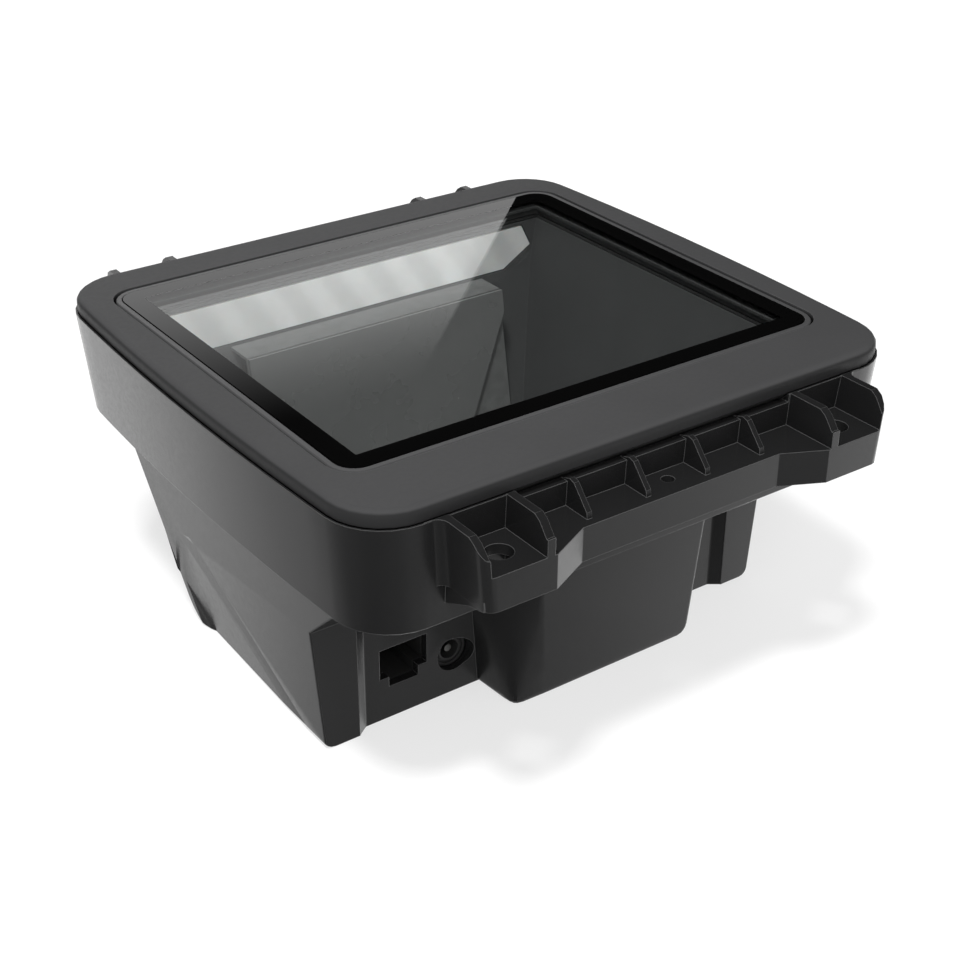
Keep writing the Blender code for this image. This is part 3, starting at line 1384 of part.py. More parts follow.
def main():
    clear_scene()
    collection(NAME)
    collection(WORK)
    root = bpy.data.objects.new(ROOT, None)
    bpy.data.collections[NAME].objects.link(root)

    shell = material("housing_black", (0.036, 0.036, 0.037), 0.42)
    cover = material("bezel_black", (0.062, 0.062, 0.063), 0.48)
    trim = material("trim_black", (0.045, 0.045, 0.046), 0.35)
    border = material("border_black", (0.004, 0.004, 0.004), 0.60)
    foam = material("seal_black", (0.012, 0.012, 0.012), 0.90)
    clear = material("window_clear", (0.95, 0.96, 0.96), 0.02, transmission=1.0)
    matt = material("hood_grey", (0.060, 0.060, 0.061), 0.65)
    silver = material("mirror_silver", (0.20, 0.20, 0.20), 0.12, 0.9)
    sheet = material("sheet_steel", (0.25, 0.25, 0.25), 0.45, 1.0)
    opal = material("diffuser_opal", (0.75, 0.75, 0.74), 0.50)
    green = material("board_green", (0.015, 0.090, 0.045), 0.45)
    lamp = material("led_cream", (0.80, 0.78, 0.60), 0.40)
    plastic = material("socket_black", (0.012, 0.012, 0.012), 0.45)
    package = material("chip_black", (0.018, 0.018, 0.018), 0.55)
    metal = material("screw_steel", (0.50, 0.50, 0.50), 0.35, 1.0)
    can = material("can_aluminium", (0.60, 0.60, 0.60), 0.40, 1.0)
    optic = material("lens_glass", (0.05, 0.06, 0.09), 0.05)
    ribbon = material("ribbon_white", (0.70, 0.70, 0.68), 0.50)

    main_housing(shell)
    top_bezel(cover)
    window_frame(trim)
    window_gasket(border)
    window_glass(clear)
    optics_hood(matt)
    dust_seal(foam)
    mirror_bracket(sheet)
    mirror(silver)
    light_diffuser(opal)
    leds(lamp)
    light_board(green)
    camera_bracket(sheet)
    camera_board(green)
    lens_holder(plastic)
    camera_lens(optic)
    main_board(green)
    chip("decoder_chip", *DECODER_PLACE, DECODER_SIZE, DECODER_SIZE, DECODER_HEIGHT, package)
    chip("memory_chip", *MEMORY_PLACE, MEMORY_WIDTH, MEMORY_DEPTH, MEMORY_HEIGHT, package)
    for index, (x, y) in enumerate(CAPACITOR_PLACES):
        capacitor(f"capacitor_{index + 1}", x, y, can)
    buzzer(plastic)
    network_jack(plastic)
    supply_jack(plastic)
    cable_connector(plastic)
    flat_cable(ribbon)
    screws(metal)


main()
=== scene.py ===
import math

import bmesh
import bpy
from mathutils import Matrix, Vector


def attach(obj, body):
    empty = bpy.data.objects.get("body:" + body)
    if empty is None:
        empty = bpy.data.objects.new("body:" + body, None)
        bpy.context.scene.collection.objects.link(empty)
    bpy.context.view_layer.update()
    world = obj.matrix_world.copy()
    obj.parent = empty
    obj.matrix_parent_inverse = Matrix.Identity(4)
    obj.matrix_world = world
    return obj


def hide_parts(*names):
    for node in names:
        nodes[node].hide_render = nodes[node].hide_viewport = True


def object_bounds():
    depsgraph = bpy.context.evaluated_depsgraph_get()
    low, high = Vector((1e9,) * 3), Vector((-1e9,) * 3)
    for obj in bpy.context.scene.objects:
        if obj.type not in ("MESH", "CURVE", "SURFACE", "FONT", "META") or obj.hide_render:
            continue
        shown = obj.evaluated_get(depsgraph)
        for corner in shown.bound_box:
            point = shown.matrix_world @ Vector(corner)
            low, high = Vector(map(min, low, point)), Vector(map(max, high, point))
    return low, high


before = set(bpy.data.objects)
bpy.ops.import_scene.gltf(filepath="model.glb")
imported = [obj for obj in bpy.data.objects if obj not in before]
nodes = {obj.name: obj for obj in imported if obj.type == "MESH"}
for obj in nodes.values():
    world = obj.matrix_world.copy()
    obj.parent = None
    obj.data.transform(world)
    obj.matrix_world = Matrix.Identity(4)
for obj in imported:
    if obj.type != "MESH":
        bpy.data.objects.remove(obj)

cad_low, cad_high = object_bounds()

# Camera, solved from the straight edges in the photograph
CAMERA_PLACE = (-0.216674, -0.309775, 0.246180)
CAMERA_AZIMUTH = -35.620
CAMERA_ELEVATION = 29.601
CAMERA_ROLL = 0.295
CAMERA_LENS = 64.02
SENSOR_WIDTH = 36.0

# Places on the object that its materials depend on
HEIGHT = cad_high[2]
CLEAR_HALF = (0.0594, 0.0485)
CLEAR_MIDDLE = 0.0029
CLEAR_CORNER = 0.0003
GLASS_THICK = 0.0006
# RIM_BOTTOM to RIM_TOP: the band of painted shade on the bezel's side.
RIM_TOP = HEIGHT - 0.0004
RIM_BOTTOM = HEIGHT - 0.0040
RIM_FADE = 0.0006
LEDGE_TOP = HEIGHT - 0.0024
LEDGE_MARGIN = 0.0016
CELL_WIDTH = 0.0130
CELL_SLANT = 0.55
JACK_MIDDLE = -0.04215
CONTACT_PITCH = 0.00102
CONTACT_HALF = 0.00026
CONTACT_ROW_HALF = 0.0041
CONTACT_SPACE = ((1, -0.0292, -0.0198), (2, 0.01575, 0.01935))
SUPPLY_PLACE = (-0.0280, 0.0108)
PIN_RADIUS = 0.00115

# Sizes of the grain in the finishes
FINE_GRAIN = 0.00035
MOTTLE = 0.0012
CLOUD = 0.020
PORE = 0.0008
DRAWN_LINE = 0.0024
TRACK_PITCH = 0.0030
PAD_PITCH = 0.0042

# Colours that more than one finish takes
BEZEL_COLOR = (0.048, 0.048, 0.049)
HOOD_COLOR = (0.062, 0.062, 0.063)
WHITE = (1.0, 1.0, 1.0)

# Side walls of the housing and their recess, in the side view (y, z)
WALL_FOOT = 0.06475
WALL_SLOPE = 0.079
FOOT_ROUND = 0.0020
CREASE_START = Vector((-0.0274, 0.0010))
DEEP_PEAK = Vector((0.0196, 0.0266))
DEEP_SLOPE = 0.10
NEAR = 0.00004
JOIN_DISTANCE = 0.00002
SHORTEST_EDGE = 0.00001
POCKET_PEAK = Vector((0.0280, 0.0312))
POCKET_LEAN = 0.26
POCKET_ROUND = 0.0097
POCKET_DEPTH = 0.0004
POCKET_BLEND = 0.0008
ARC_STEPS = 8

# Shading of the facets
CRISP_ANGLE = math.radians(24)
MERGE_DISTANCE = 0.000002
LARGE_FACE_WEIGHT = 80

# Light, tuned region by region to the tones of the photograph
FLOOR_HALF = 6.0
FLOOR_DROP = 0.0002
# Within FLOOR_NEAR of the middle the floor's own glow drops to the lower value: painted shade that deepens
# the real shadows around the object.
FLOOR_NEAR = 0.15
FLOOR_FAR = 0.60
FLOOR_SHADED_GLOW = 0.66
TENT_RADIUS = 3.0
TENT_AZIMUTH = math.radians(34)
TENT_TOP = (-0.12, 0.02)
TENT_DEPTHS = (-0.78, -0.50)
TENT_TONES = (
    (0, 1.47),
    (70, 1.47),
    (76, 1.3),
    (80, 0.85),
    (84, 0.5),
    (90, 0.40),
    (115, 0.38),
    (135, 0.2),
    (170, 0.08),
)
CARD_BACK = 0.6
CARD_LEFT = -0.2
CARD_BOTTOM = 0.20
CARD_TOP = 0.62
CARD_RIGHT_LOW = 0.5534
CARD_RIGHT_HIGH = 0.2492
CARD_FADE = (0.30, 0.45)
CARD_GLOW = 1.3
FILL = 0.50
KEY_PLACE = (-0.60, -0.47, 1.9)
KEY_SIZE = 0.26
KEY_POWER = 36.0
FRONT_PLACE = (-0.65, -1.45, 1.45)
FRONT_SIZE = 0.60
FRONT_POWER = 15.0


class Look:
    """A node material under construction: short calls that add and link one node each."""

    def __init__(self, name):
        self.material = bpy.data.materials.new(name)
        self.material.use_nodes = True
        self.tree = self.material.node_tree
        self.tree.nodes.clear()
        self.output = self.tree.nodes.new("ShaderNodeOutputMaterial")
        coordinates = self.tree.nodes.new("ShaderNodeTexCoord")
        self.place = coordinates.outputs["Object"]

    def add(self, kind, **settings):
        made = self.tree.nodes.new(kind)
        for key, value in settings.items():
            setattr(made, key, value)
        return made

    def feed(self, socket, value):
        if isinstance(value, bpy.types.NodeSocket):
            self.tree.links.new(value, socket)
        elif isinstance(value, (tuple, list)) and len(value) == 3 and socket.type == "RGBA":
            socket.default_value = (*value, 1.0)
        else:
            socket.default_value = value

    def math(self, operation, first, second=0.0, clamp=False):
        made = self.add("ShaderNodeMath", operation=operation, use_clamp=clamp)
        self.feed(made.inputs[0], first)
        self.feed(made.inputs[1], second)
        return made.outputs[0]

    def axis(self, index):
        made = self.add("ShaderNodeSeparateXYZ")
        self.feed(made.inputs[0], self.place)
        return made.outputs[index]

    def outside_frame(self, half, middle, corner, blend=0.0001):
        """1 outside a rounded rectangle seen from above, centred at x 0 and y middle, and 0 inside it."""
        over = []
        for index, reach in ((0, half[0]), (1, half[1])):
            along = self.axis(index)
            if index == 1:
                along = self.math("SUBTRACT", along, middle)
            past = self.math("SUBTRACT", self.math("ABSOLUTE", along), reach - corner)
            over.append(self.math("MAXIMUM", past, 0.0))
        squares = [self.math("MULTIPLY", part, part) for part in over]
        distance = self.math("SQRT", self.math("ADD", *squares))
        return self.spread(distance, corner - blend, corner + blend)

    def spread(self, value, low, high, to_low=0.0, to_high=1.0, smooth=True):
        """Maps a range of one value to another, clamped."""
        made = self.add("ShaderNodeMapRange")
        made.interpolation_type = "SMOOTHSTEP" if smooth else "LINEAR"
        self.feed(made.inputs["Value"], value)
        self.feed(made.inputs["From Min"], low)
        self.feed(made.inputs["From Max"], high)
        self.feed(made.inputs["To Min"], to_low)
        self.feed(made.inputs["To Max"], to_high)
        return made.outputs["Result"]

    def even(self, noise, low=0.0, high=1.0):
        """Stretches noise, which keeps near its middle, over a range."""
        return self.spread(noise, 0.3, 0.7, low, high)

    def noise(self, size, detail=2.0, roughness=0.5, stretch=None):
        """Noise whose grains are about size metres across."""
        made = self.add("ShaderNodeTexNoise")
        place = self.place
        if stretch is not None:
            mapping = self.add("ShaderNodeMapping")
            self.feed(mapping.inputs["Vector"], place)
            self.feed(mapping.inputs["Scale"], stretch)
            place = mapping.outputs[0]
        self.feed(made.inputs["Vector"], place)
        self.feed(made.inputs["Scale"], 1.0 / size)
        self.feed(made.inputs["Detail"], detail)
        self.feed(made.inputs["Roughness"], roughness)
        return made.outputs["Fac"]

    def blend(self, share, first, second):
        made = self.add("ShaderNodeMix", data_type="RGBA")
        self.feed(made.inputs["Factor"], share)
        self.feed(made.inputs[6], first)
        self.feed(made.inputs[7], second)
        return made.outputs[2]

    def scaled(self, color, factor):
        made = self.add("ShaderNodeVectorMath", operation="SCALE")
        self.feed(made.inputs[0], color)
        self.feed(made.inputs["Scale"], factor)
        return made.outputs[0]

    def rounded_normal(self, radius, samples=6):
        made = self.add("ShaderNodeBevel", samples=samples)
        self.feed(made.inputs["Radius"], radius)
        return made.outputs[0]

    def edge_mask(self, normal, sensitivity=9.0):
        """1 on an edge and 0 on a flat, from how far the rounded normal turns from the flat one."""
        geometry = self.add("ShaderNodeNewGeometry")
        dot = self.add("ShaderNodeVectorMath", operation="DOT_PRODUCT")
        self.feed(dot.inputs[0], normal)
        self.feed(dot.inputs[1], geometry.outputs["Normal"])
        turned = self.math("SUBTRACT", 1.0, dot.outputs["Value"])
        return self.math("MULTIPLY", turned, sensitivity, clamp=True)

    def bump(self, height, distance, strength=1.0, normal=None):
        made = self.add("ShaderNodeBump")
        self.feed(made.inputs["Height"], height)
        self.feed(made.inputs["Distance"], distance)
        self.feed(made.inputs["Strength"], strength)
        if normal is not None:
            self.feed(made.inputs["Normal"], normal)
        return made.outputs[0]

    def mix(self, share, first, second):
        """Mixes two shaders."""
        made = self.add("ShaderNodeMixShader")
        self.feed(made.inputs["Fac"], share)
        self.tree.links.new(first, made.inputs[1])
        self.tree.links.new(second, made.inputs[2])
        return made.outputs[0]

    def glow(self, strength):
        """Makes the surface one that only shines."""
        made = self.add("ShaderNodeEmission")
        self.feed(made.inputs["Strength"], strength)
        self.tree.links.new(made.outputs[0], self.output.inputs["Surface"])

    def surface(self, **values):
        shader = self.add("ShaderNodeBsdfPrincipled")
        for key, value in values.items():
            self.feed(shader.inputs[key.replace("_", " ")], value)
        self.tree.links.new(shader.outputs[0], self.output.inputs["Surface"])


def moulded_plastic(name, color, rough, edge=0.0003, depth=0.000012, shine=0.5, edge_highlight=0.03):
    """Injection moulded plastic: fine eroded grain, faint clouding, edges rounded and a little smoother,
    and a painted highlight that lightens the colour along the edges.
    """
    look = Look(name)
    normal = look.rounded_normal(edge)
    edges = look.edge_mask(normal)
    fine = look.noise(FINE_GRAIN, 3.0, 0.6)
    cloud = look.noise(CLOUD, 3.0, 0.55)
    tint = look.even(cloud, 0.97, 1.03)
    # Painted highlight: the colour along the edges is lightened, by the amount given to the finish.
    light = tuple(channel + edge_highlight for channel in color)
    base = look.blend(edges, color, light)
    shade = look.scaled(base, tint)
    worn = look.math("MULTIPLY", edges, -0.08)
    mottled = look.even(look.noise(MOTTLE, 2.0), rough - 0.02, rough + 0.02)
    roughness = look.math("ADD", mottled, worn)
    bumped = look.bump(fine, depth, 0.8, normal)
    look.surface(Base_Color=shade, Roughness=roughness, Normal=bumped, Specular_IOR_Level=shine)
    return look.material


def bezel_plastic():
    """Satin frame plastic: a painted highlight lightens its edges, a band of painted shade darkens the side
    of its rim, and the ledge under the glass is grey as the hood.
    """
    look = Look("bezel_plastic")
    normal = look.rounded_normal(0.0003)
    edges = look.edge_mask(normal)
    up = look.axis(2)
    cloud = look.noise(CLOUD, 3.0, 0.55)
    # Painted highlight: the edges are lightened by 0.03.
    top = look.blend(edges, BEZEL_COLOR, tuple(channel + 0.03 for channel in BEZEL_COLOR))
    # Painted shade: the side of the rim, between RIM_BOTTOM and RIM_TOP, is darkened to 0.45 of the colour.
    below_top = look.spread(up, RIM_TOP - RIM_FADE, RIM_TOP, 1.0, 0.0)
    above_skirt = look.spread(up, RIM_BOTTOM - RIM_FADE, RIM_BOTTOM)
    rim = look.math("MULTIPLY", below_top, above_skirt)
    painted_rim_shaded = look.blend(rim, top, tuple(channel * 0.45 for channel in BEZEL_COLOR))
    ledge_half = tuple(reach + LEDGE_MARGIN for reach in CLEAR_HALF)
    inside = look.math("SUBTRACT", 1.0, look.outside_frame(ledge_half, CLEAR_MIDDLE, CLEAR_CORNER))
    ledge = look.math("MULTIPLY", inside, look.math("LESS_THAN", up, LEDGE_TOP))
    base = look.blend(ledge, painted_rim_shaded, HOOD_COLOR)
    shade = look.scaled(base, look.even(cloud, 0.98, 1.02))
    roughness = look.even(look.noise(MOTTLE, 2.0), 0.48, 0.52)
    bumped = look.bump(look.noise(FINE_GRAIN, 3.0, 0.6), 0.000008, 0.8, normal)
    look.surface(Base_Color=shade, Roughness=roughness, Normal=bumped, Specular_IOR_Level=0.22)
    return look.material


def window_glass():
    """Flat glass with a black border printed on top: clear in the middle, and it mirrors by angle."""
    look = Look("clear_window")
    layer = look.add("ShaderNodeLayerWeight")
    look.feed(layer.inputs["Blend"], 0.5)
    grazing = look.math("POWER", layer.outputs["Facing"], 5.0)
    film = look.noise(0.030, 2.0, 0.5)
    gloss = look.add("ShaderNodeBsdfAnisotropic", distribution="GGX")
    look.feed(gloss.inputs["Color"], WHITE)
    look.feed(gloss.inputs["Roughness"], look.spread(film, 0.35, 0.65, 0.000, 0.015))
    clear = look.add("ShaderNodeBsdfTransparent")
    look.feed(clear.inputs["Color"], (0.955, 0.965, 0.960))
    print_black = look.add("ShaderNodeBsdfDiffuse")
    look.feed(print_black.inputs["Color"], (0.002, 0.002, 0.002))
    frame_share = look.outside_frame(CLEAR_HALF, CLEAR_MIDDLE, CLEAR_CORNER)
    upper = look.math("GREATER_THAN", look.axis(2), HEIGHT - GLASS_THICK)
    printed = look.math("MULTIPLY", frame_share, upper)
    body = look.mix(printed, clear.outputs[0], print_black.outputs[0])
    share = look.math("ADD", look.math("MULTIPLY", grazing, 0.957), 0.043, clamp=True)
    whole = look.mix(share, body, gloss.outputs[0])
    look.tree.links.new(whole, look.output.inputs["Surface"])
    return look.material


def foam(name, color, rough):
    """Foam or rubber: open pores and no shine."""
    look = Look(name)
    pores = look.add("ShaderNodeTexVoronoi")
    look.feed(pores.inputs["Vector"], look.place)
    look.feed(pores.inputs["Scale"], 1.0 / PORE)
    dark = tuple(channel * 0.6 for channel in color)
    base = look.blend(look.spread(pores.outputs["Distance"], 0.1, 0.6), dark, color)
    bumped = look.bump(pores.outputs["Distance"], 0.00004, 0.7)
    look.surface(Base_Color=base, Roughness=rough, Normal=bumped, Specular_IOR_Level=0.2)
    return look.material


def diffuser():
    """Opal plastic over a row of lamps, itself no lamp: a painted glow of soft slanted cells, brighter
    towards the right and dimmer at the right end, in its colour and its emission.
    """
    look = Look("opal_diffuser")
    # Painted glow: a soft bright cell over each lamp, slanted upwards.
    slanted = look.math("ADD", look.axis(0), look.math("MULTIPLY", look.axis(2), CELL_SLANT))
    across = look.math("DIVIDE", slanted, CELL_WIDTH)
    wave = look.math("COSINE", look.math("MULTIPLY", across, 2 * math.pi))
    cell = look.spread(wave, -1.0, 1.0, 0.74, 1.0)
    cloud = look.noise(0.006, 3.0, 0.6)
    mottled = look.math("MULTIPLY", cell, look.even(cloud, 0.88, 1.0))
    # Painted light: brighter towards the right.
    painted_right_brightening = look.spread(look.axis(0), -0.045, 0.030, 0.52, 0.84, smooth=False)
    # Painted shade: dimmer at the right end.
    end = look.spread(look.axis(0), 0.033, 0.041, 1.0, 0.5)
    painted_glow = look.math("MULTIPLY", look.math("MULTIPLY", mottled, painted_right_brightening), end)
    # The painted glow lightens the base colour.
    base = look.blend(painted_glow, (0.30, 0.30, 0.30), (0.66, 0.66, 0.655))
    rough = look.even(look.noise(0.0006), 0.38, 0.50)
    bumped = look.bump(look.noise(0.0008, 2.0), 0.00001, 0.5)
    look.surface(
        Base_Color=base,
        Roughness=rough,
        Normal=bumped,
        Subsurface_Weight=0.3,
        Subsurface_Scale=0.002,
        Emission_Color=WHITE,
        # The painted glow also sets the emission, so the diffuser shines though it is no lamp.
        Emission_Strength=look.math("MULTIPLY", painted_glow, 0.26),
    )
    return look.material


def coated_mirror():
    """Grey coated fold mirror with a thin film of haze."""
    look = Look("coated_mirror")
    haze = look.noise(0.018, 3.0, 0.5)
    rough = look.even(haze, 0.26, 0.29)
    base = look.blend(look.even(haze), (0.215, 0.215, 0.215), (0.232, 0.232, 0.232))
    look.surface(Base_Color=base, Roughness=rough, Metallic=0.35)
    return look.material


def metal(name, color, rough, stretch=(1.0, 12.0, 12.0), metallic=1.0):
    """Plated or drawn metal with fine lines along one direction and a mottled finish."""
    look = Look(name)
    normal = look.rounded_normal(0.00012, 4)
    lines = look.noise(DRAWN_LINE, 3.0, 0.6, stretch)
    stain = look.noise(0.003, 3.0, 0.5)
    dark = tuple(channel * 0.82 for channel in color)
    base = look.blend(look.even(stain), dark, color)
    roughness = look.even(lines, rough - 0.07, rough + 0.07)
    bumped = look.bump(lines, 0.000008, 0.5, normal)
    look.surface(Base_Color=base, Roughness=roughness, Metallic=metallic, Normal=bumped)
    return look.material


def circuit_board():
    """Green solder mask over copper tracks, with pale round pads."""
    look = Look("circuit_board")
    brick = look.add("ShaderNodeTexBrick", offset=0.35)
    look.feed(brick.inputs["Vector"], look.place)
    look.feed(brick.inputs["Scale"], 1.0 / TRACK_PITCH)
    look.feed(brick.inputs["Mortar Size"], 0.06)
    look.feed(brick.inputs["Color1"], (0.012, 0.080, 0.040))
    look.feed(brick.inputs["Color2"], (0.016, 0.095, 0.048))
    look.feed(brick.inputs["Mortar"], (0.028, 0.150, 0.070))
    pads = look.add("ShaderNodeTexVoronoi")
    look.feed(pads.inputs["Vector"], look.place)
    look.feed(pads.inputs["Scale"], 1.0 / PAD_PITCH)
    pad = look.spread(pads.outputs["Distance"], 0.10, 0.13, 1.0, 0.0)
    base = look.blend(pad, brick.outputs["Color"], (0.62, 0.60, 0.55))
    bumped = look.bump(brick.outputs["Fac"], 0.00003, 0.6)
    roughness = look.math("ADD", 0.38, look.math("MULTIPLY", pad, -0.1))
    look.surface(Base_Color=base, Roughness=roughness, Normal=bumped)
    return look.material


def chip_package():
    """Matt epoxy package with a lighter sandy grain."""
    look = Look("chip_package")
    grain = look.noise(0.00025, 2.0, 0.6)
    base = look.blend(look.spread(grain, 0.35, 0.65), (0.014, 0.014, 0.014), (0.026, 0.026, 0.026))
    bumped = look.bump(grain, 0.00001, 0.7, look.rounded_normal(0.00015, 4))
    look.surface(Base_Color=base, Roughness=look.even(grain, 0.52, 0.64), Normal=bumped)
    return look.material


def network_plastic():
    """Black socket plastic, with gold on the eight spring contacts inside the mouth."""
    look = Look("network_socket_plastic")
    across = look.math("SUBTRACT", look.axis(0), JACK_MIDDLE)
    lane = look.math("PINGPONG", look.math("ADD", across, CONTACT_PITCH * 20), CONTACT_PITCH / 2)
    in_lane = look.math("GREATER_THAN", lane, CONTACT_PITCH / 2 - CONTACT_HALF)
    inner = look.math("LESS_THAN", look.math("ABSOLUTE", across), CONTACT_ROW_HALF)
    mask = look.math("MULTIPLY", in_lane, inner)
    for index, low, high in CONTACT_SPACE:
        mask = look.math("MULTIPLY", mask, look.math("GREATER_THAN", look.axis(index), low))
        mask = look.math("MULTIPLY", mask, look.math("LESS_THAN", look.axis(index), high))
    grain = look.noise(0.0004, 2.0, 0.5)
    plastic = look.blend(look.even(grain), (0.020, 0.020, 0.020), (0.028, 0.028, 0.028))
    base = look.blend(mask, plastic, (0.80, 0.56, 0.20))
    roughness = look.math("ADD", look.even(grain, 0.42, 0.50), look.math("MULTIPLY", mask, -0.18))
    bumped = look.bump(grain, 0.00001, 0.6, look.rounded_normal(0.0002, 4))
    look.surface(Base_Color=base, Roughness=roughness, Metallic=mask, Normal=bumped)
    return look.material


def supply_plastic():
    """Black socket plastic, with plated metal on the centre pin."""
    look = Look("supply_socket_plastic")
    across = look.math("SUBTRACT", look.axis(0), SUPPLY_PLACE[0])
    up = look.math("SUBTRACT", look.axis(2), SUPPLY_PLACE[1])
    square = look.math("ADD", look.math("MULTIPLY", across, across), look.math("MULTIPLY", up, up))
    pin = look.math("LESS_THAN", look.math("SQRT", square), PIN_RADIUS)
    grain = look.noise(0.0004, 2.0, 0.5)
    plastic = look.blend(look.even(grain), (0.028, 0.028, 0.028), (0.036, 0.036, 0.036))
    base = look.blend(pin, plastic, (0.34, 0.34, 0.33))
    roughness = look.math("ADD", look.even(grain, 0.38, 0.46), look.math("MULTIPLY", pin, -0.12))
    bumped = look.bump(grain, 0.00001, 0.6, look.rounded_normal(0.0002, 4))
    look.surface(Base_Color=base, Roughness=roughness, Metallic=pin, Normal=bumped)
    return look.material


def coated_lens():
    """Dark camera lens with a violet coating that deepens towards the rim."""
    look = Look("coated_lens")
    layer = look.add("ShaderNodeLayerWeight")
    look.feed(layer.inputs["Blend"], 0.4)
    base = look.blend(layer.outputs["Facing"], (0.010, 0.010, 0.020), (0.06, 0.03, 0.12))
    speck = look.even(look.noise(0.0010), 0.03, 0.07)
    look.surface(Base_Color=base, Roughness=speck, Coat_Weight=1.0, Coat_Roughness=0.03)
    return look.material


def lamp_package():
    """Small white lamp with a yellow domed middle."""
    look = Look("lamp_package")
    across = look.math("DIVIDE", look.axis(0), CELL_WIDTH)
    share = look.math("FRACT", look.math("ADD", across, 8.0))
    centre = look.math("ABSOLUTE", look.math("SUBTRACT", share, 0.5))
    middle = look.spread(centre, 0.07, 0.10, 1.0, 0.0)
    grain = look.noise(0.0004, 2.0)
    ring = look.blend(look.even(grain), (0.78, 0.78, 0.76), (0.84, 0.84, 0.82))
    base = look.blend(middle, ring, (0.82, 0.66, 0.16))
    look.surface(Base_Color=base, Roughness=look.even(grain, 0.34, 0.46))
    return look.material


def ribbon():
    """White flat cable with fine grey conductors along it."""
    look = Look("ribbon")
    lane = look.math("PINGPONG", look.math("ADD", look.axis(0), 0.05), 0.0005)
    line = look.spread(lane, 0.00030, 0.00036)
    grain = look.noise(0.0015, 2.0)
    white = look.blend(look.even(grain), (0.68, 0.68, 0.66), (0.74, 0.74, 0.72))
    base = look.blend(line, white, (0.45, 0.45, 0.46))
    look.surface(Base_Color=base, Roughness=0.42, Normal=look.bump(line, 0.00003, 0.5))
    return look.material


def add_piece(name, mesh, finish=None):
    """Puts a mesh in the scene, with a finish when one is given."""
    made = bpy.data.objects.new(name, mesh)
    bpy.context.scene.collection.objects.link(made)
    if finish is not None:
        made.data.materials.append(finish)
    return made


def smoothing():
    """Geometry nodes that join the split triangles, keep steep edges crisp and smooth the rest."""
    tree = bpy.data.node_groups.new("smooth_by_angle", "GeometryNodeTree")
    tree.interface.new_socket("Geometry", in_out="INPUT", socket_type="NodeSocketGeometry")
    tree.interface.new_socket("Geometry", in_out="OUTPUT", socket_type="NodeSocketGeometry")
    start = tree.nodes.new("NodeGroupInput")
    end = tree.nodes.new("NodeGroupOutput")
    drop = tree.nodes.new("GeometryNodeRemoveAttribute")
    drop.inputs["Name"].default_value = "custom_normal"
    merge = tree.nodes.new("GeometryNodeMergeByDistance")
    merge.inputs["Distance"].default_value = MERGE_DISTANCE
    faces = tree.nodes.new("GeometryNodeSetShadeSmooth")
    faces.domain = "FACE"
    faces.inputs["Shade Smooth"].default_value = True
    angle = tree.nodes.new("GeometryNodeInputMeshEdgeAngle")
    compare = tree.nodes.new("FunctionNodeCompare")
    compare.data_type = "FLOAT"
    compare.operation = "LESS_THAN"
    compare.inputs[1].default_value = CRISP_ANGLE
    edges = tree.nodes.new("GeometryNodeSetShadeSmooth")
    edges.domain = "EDGE"
    tree.links.new(start.outputs[0], drop.inputs["Geometry"])
    tree.links.new(drop.outputs[0], merge.inputs["Geometry"])
    tree.links.new(merge.outputs[0], faces.inputs["Geometry"])
    tree.links.new(faces.outputs[0], edges.inputs["Geometry"])
    tree.links.new(angle.outputs["Unsigned Angle"], compare.inputs[0])
    tree.links.new(compare.outputs[0], edges.inputs["Shade Smooth"])
    tree.links.new(edges.outputs[0], end.inputs[0])
    return tree


def wall_out(height):
    """How far out a side wall is at a height, with its rounded foot."""
    rise = min(max(height, 0.0), FOOT_ROUND)
    inset = FOOT_ROUND - math.sqrt(FOOT_ROUND ** 2 - (FOOT_ROUND - rise) ** 2)
    return WALL_FOOT + WALL_SLOPE * height - inset


def pocket_outline(grow):
    """Side view of the pocket: the long crease, an arched peak and a leaning back end."""
    along = (POCKET_PEAK - CREASE_START).normalized()
    above = Vector((-along.y, along.x))
    behind = Vector((1.0, POCKET_LEAN)).normalized()
    turn = above.x * behind.y - above.y * behind.x
    shift = Vector((behind.y - above.y, above.x - behind.x)) * grow / turn
    peak = POCKET_PEAK + shift
    foot = CREASE_START + above * grow - along * POCKET_ROUND
    below = -POCKET_ROUND
    back = peak.x + POCKET_LEAN * (peak.y - below)
    into = (Vector((back, below)) - peak).normalized()
    opening = math.acos(max(-1.0, min(1.0, -along.dot(into))))
    reach = POCKET_ROUND / math.tan(opening / 2)
    centre = peak + (into - along).normalized() * POCKET_ROUND / math.sin(opening / 2)
    first = peak - along * reach - centre
    last = peak + into * reach - centre
    sweep = first.angle_signed(last)
    arc = []
    for index in range(ARC_STEPS + 1):
        part = -sweep * index / ARC_STEPS
        x = first.x * math.cos(part) - first.y * math.sin(part)
        y = first.x * math.sin(part) + first.y * math.cos(part)
        arc.append(centre + Vector((x, y)))
    return [foot, *arc, Vector((back, below)), Vector((foot.x, below))]


def pocket_cutter(side):
    """Loft between the outline a little outside the wall and the smaller one at the pocket's depth."""
    shape = bmesh.new()
    rings = []
    for out in (1, -1):
        ring = []
        for point in pocket_outline(POCKET_BLEND * (1 + out)):
            flat = WALL_FOOT + WALL_SLOPE * point.y
            ring.append(shape.verts.new((side * (flat + out * POCKET_DEPTH), point.x, point.y)))
        rings.append(ring)
    outer, inner = rings
    count = len(outer)
    for index in range(count):
        after = (index + 1) % count
        shape.faces.new((outer[index], outer[after], inner[after], inner[index]))
    shape.faces.new(outer)
    shape.faces.new(inner)
    bmesh.ops.recalc_face_normals(shape, faces=shape.faces)
    mesh = bpy.data.meshes.new("pocket")
    shape.to_mesh(mesh)
    shape.free()
    return add_piece("pocket", mesh)


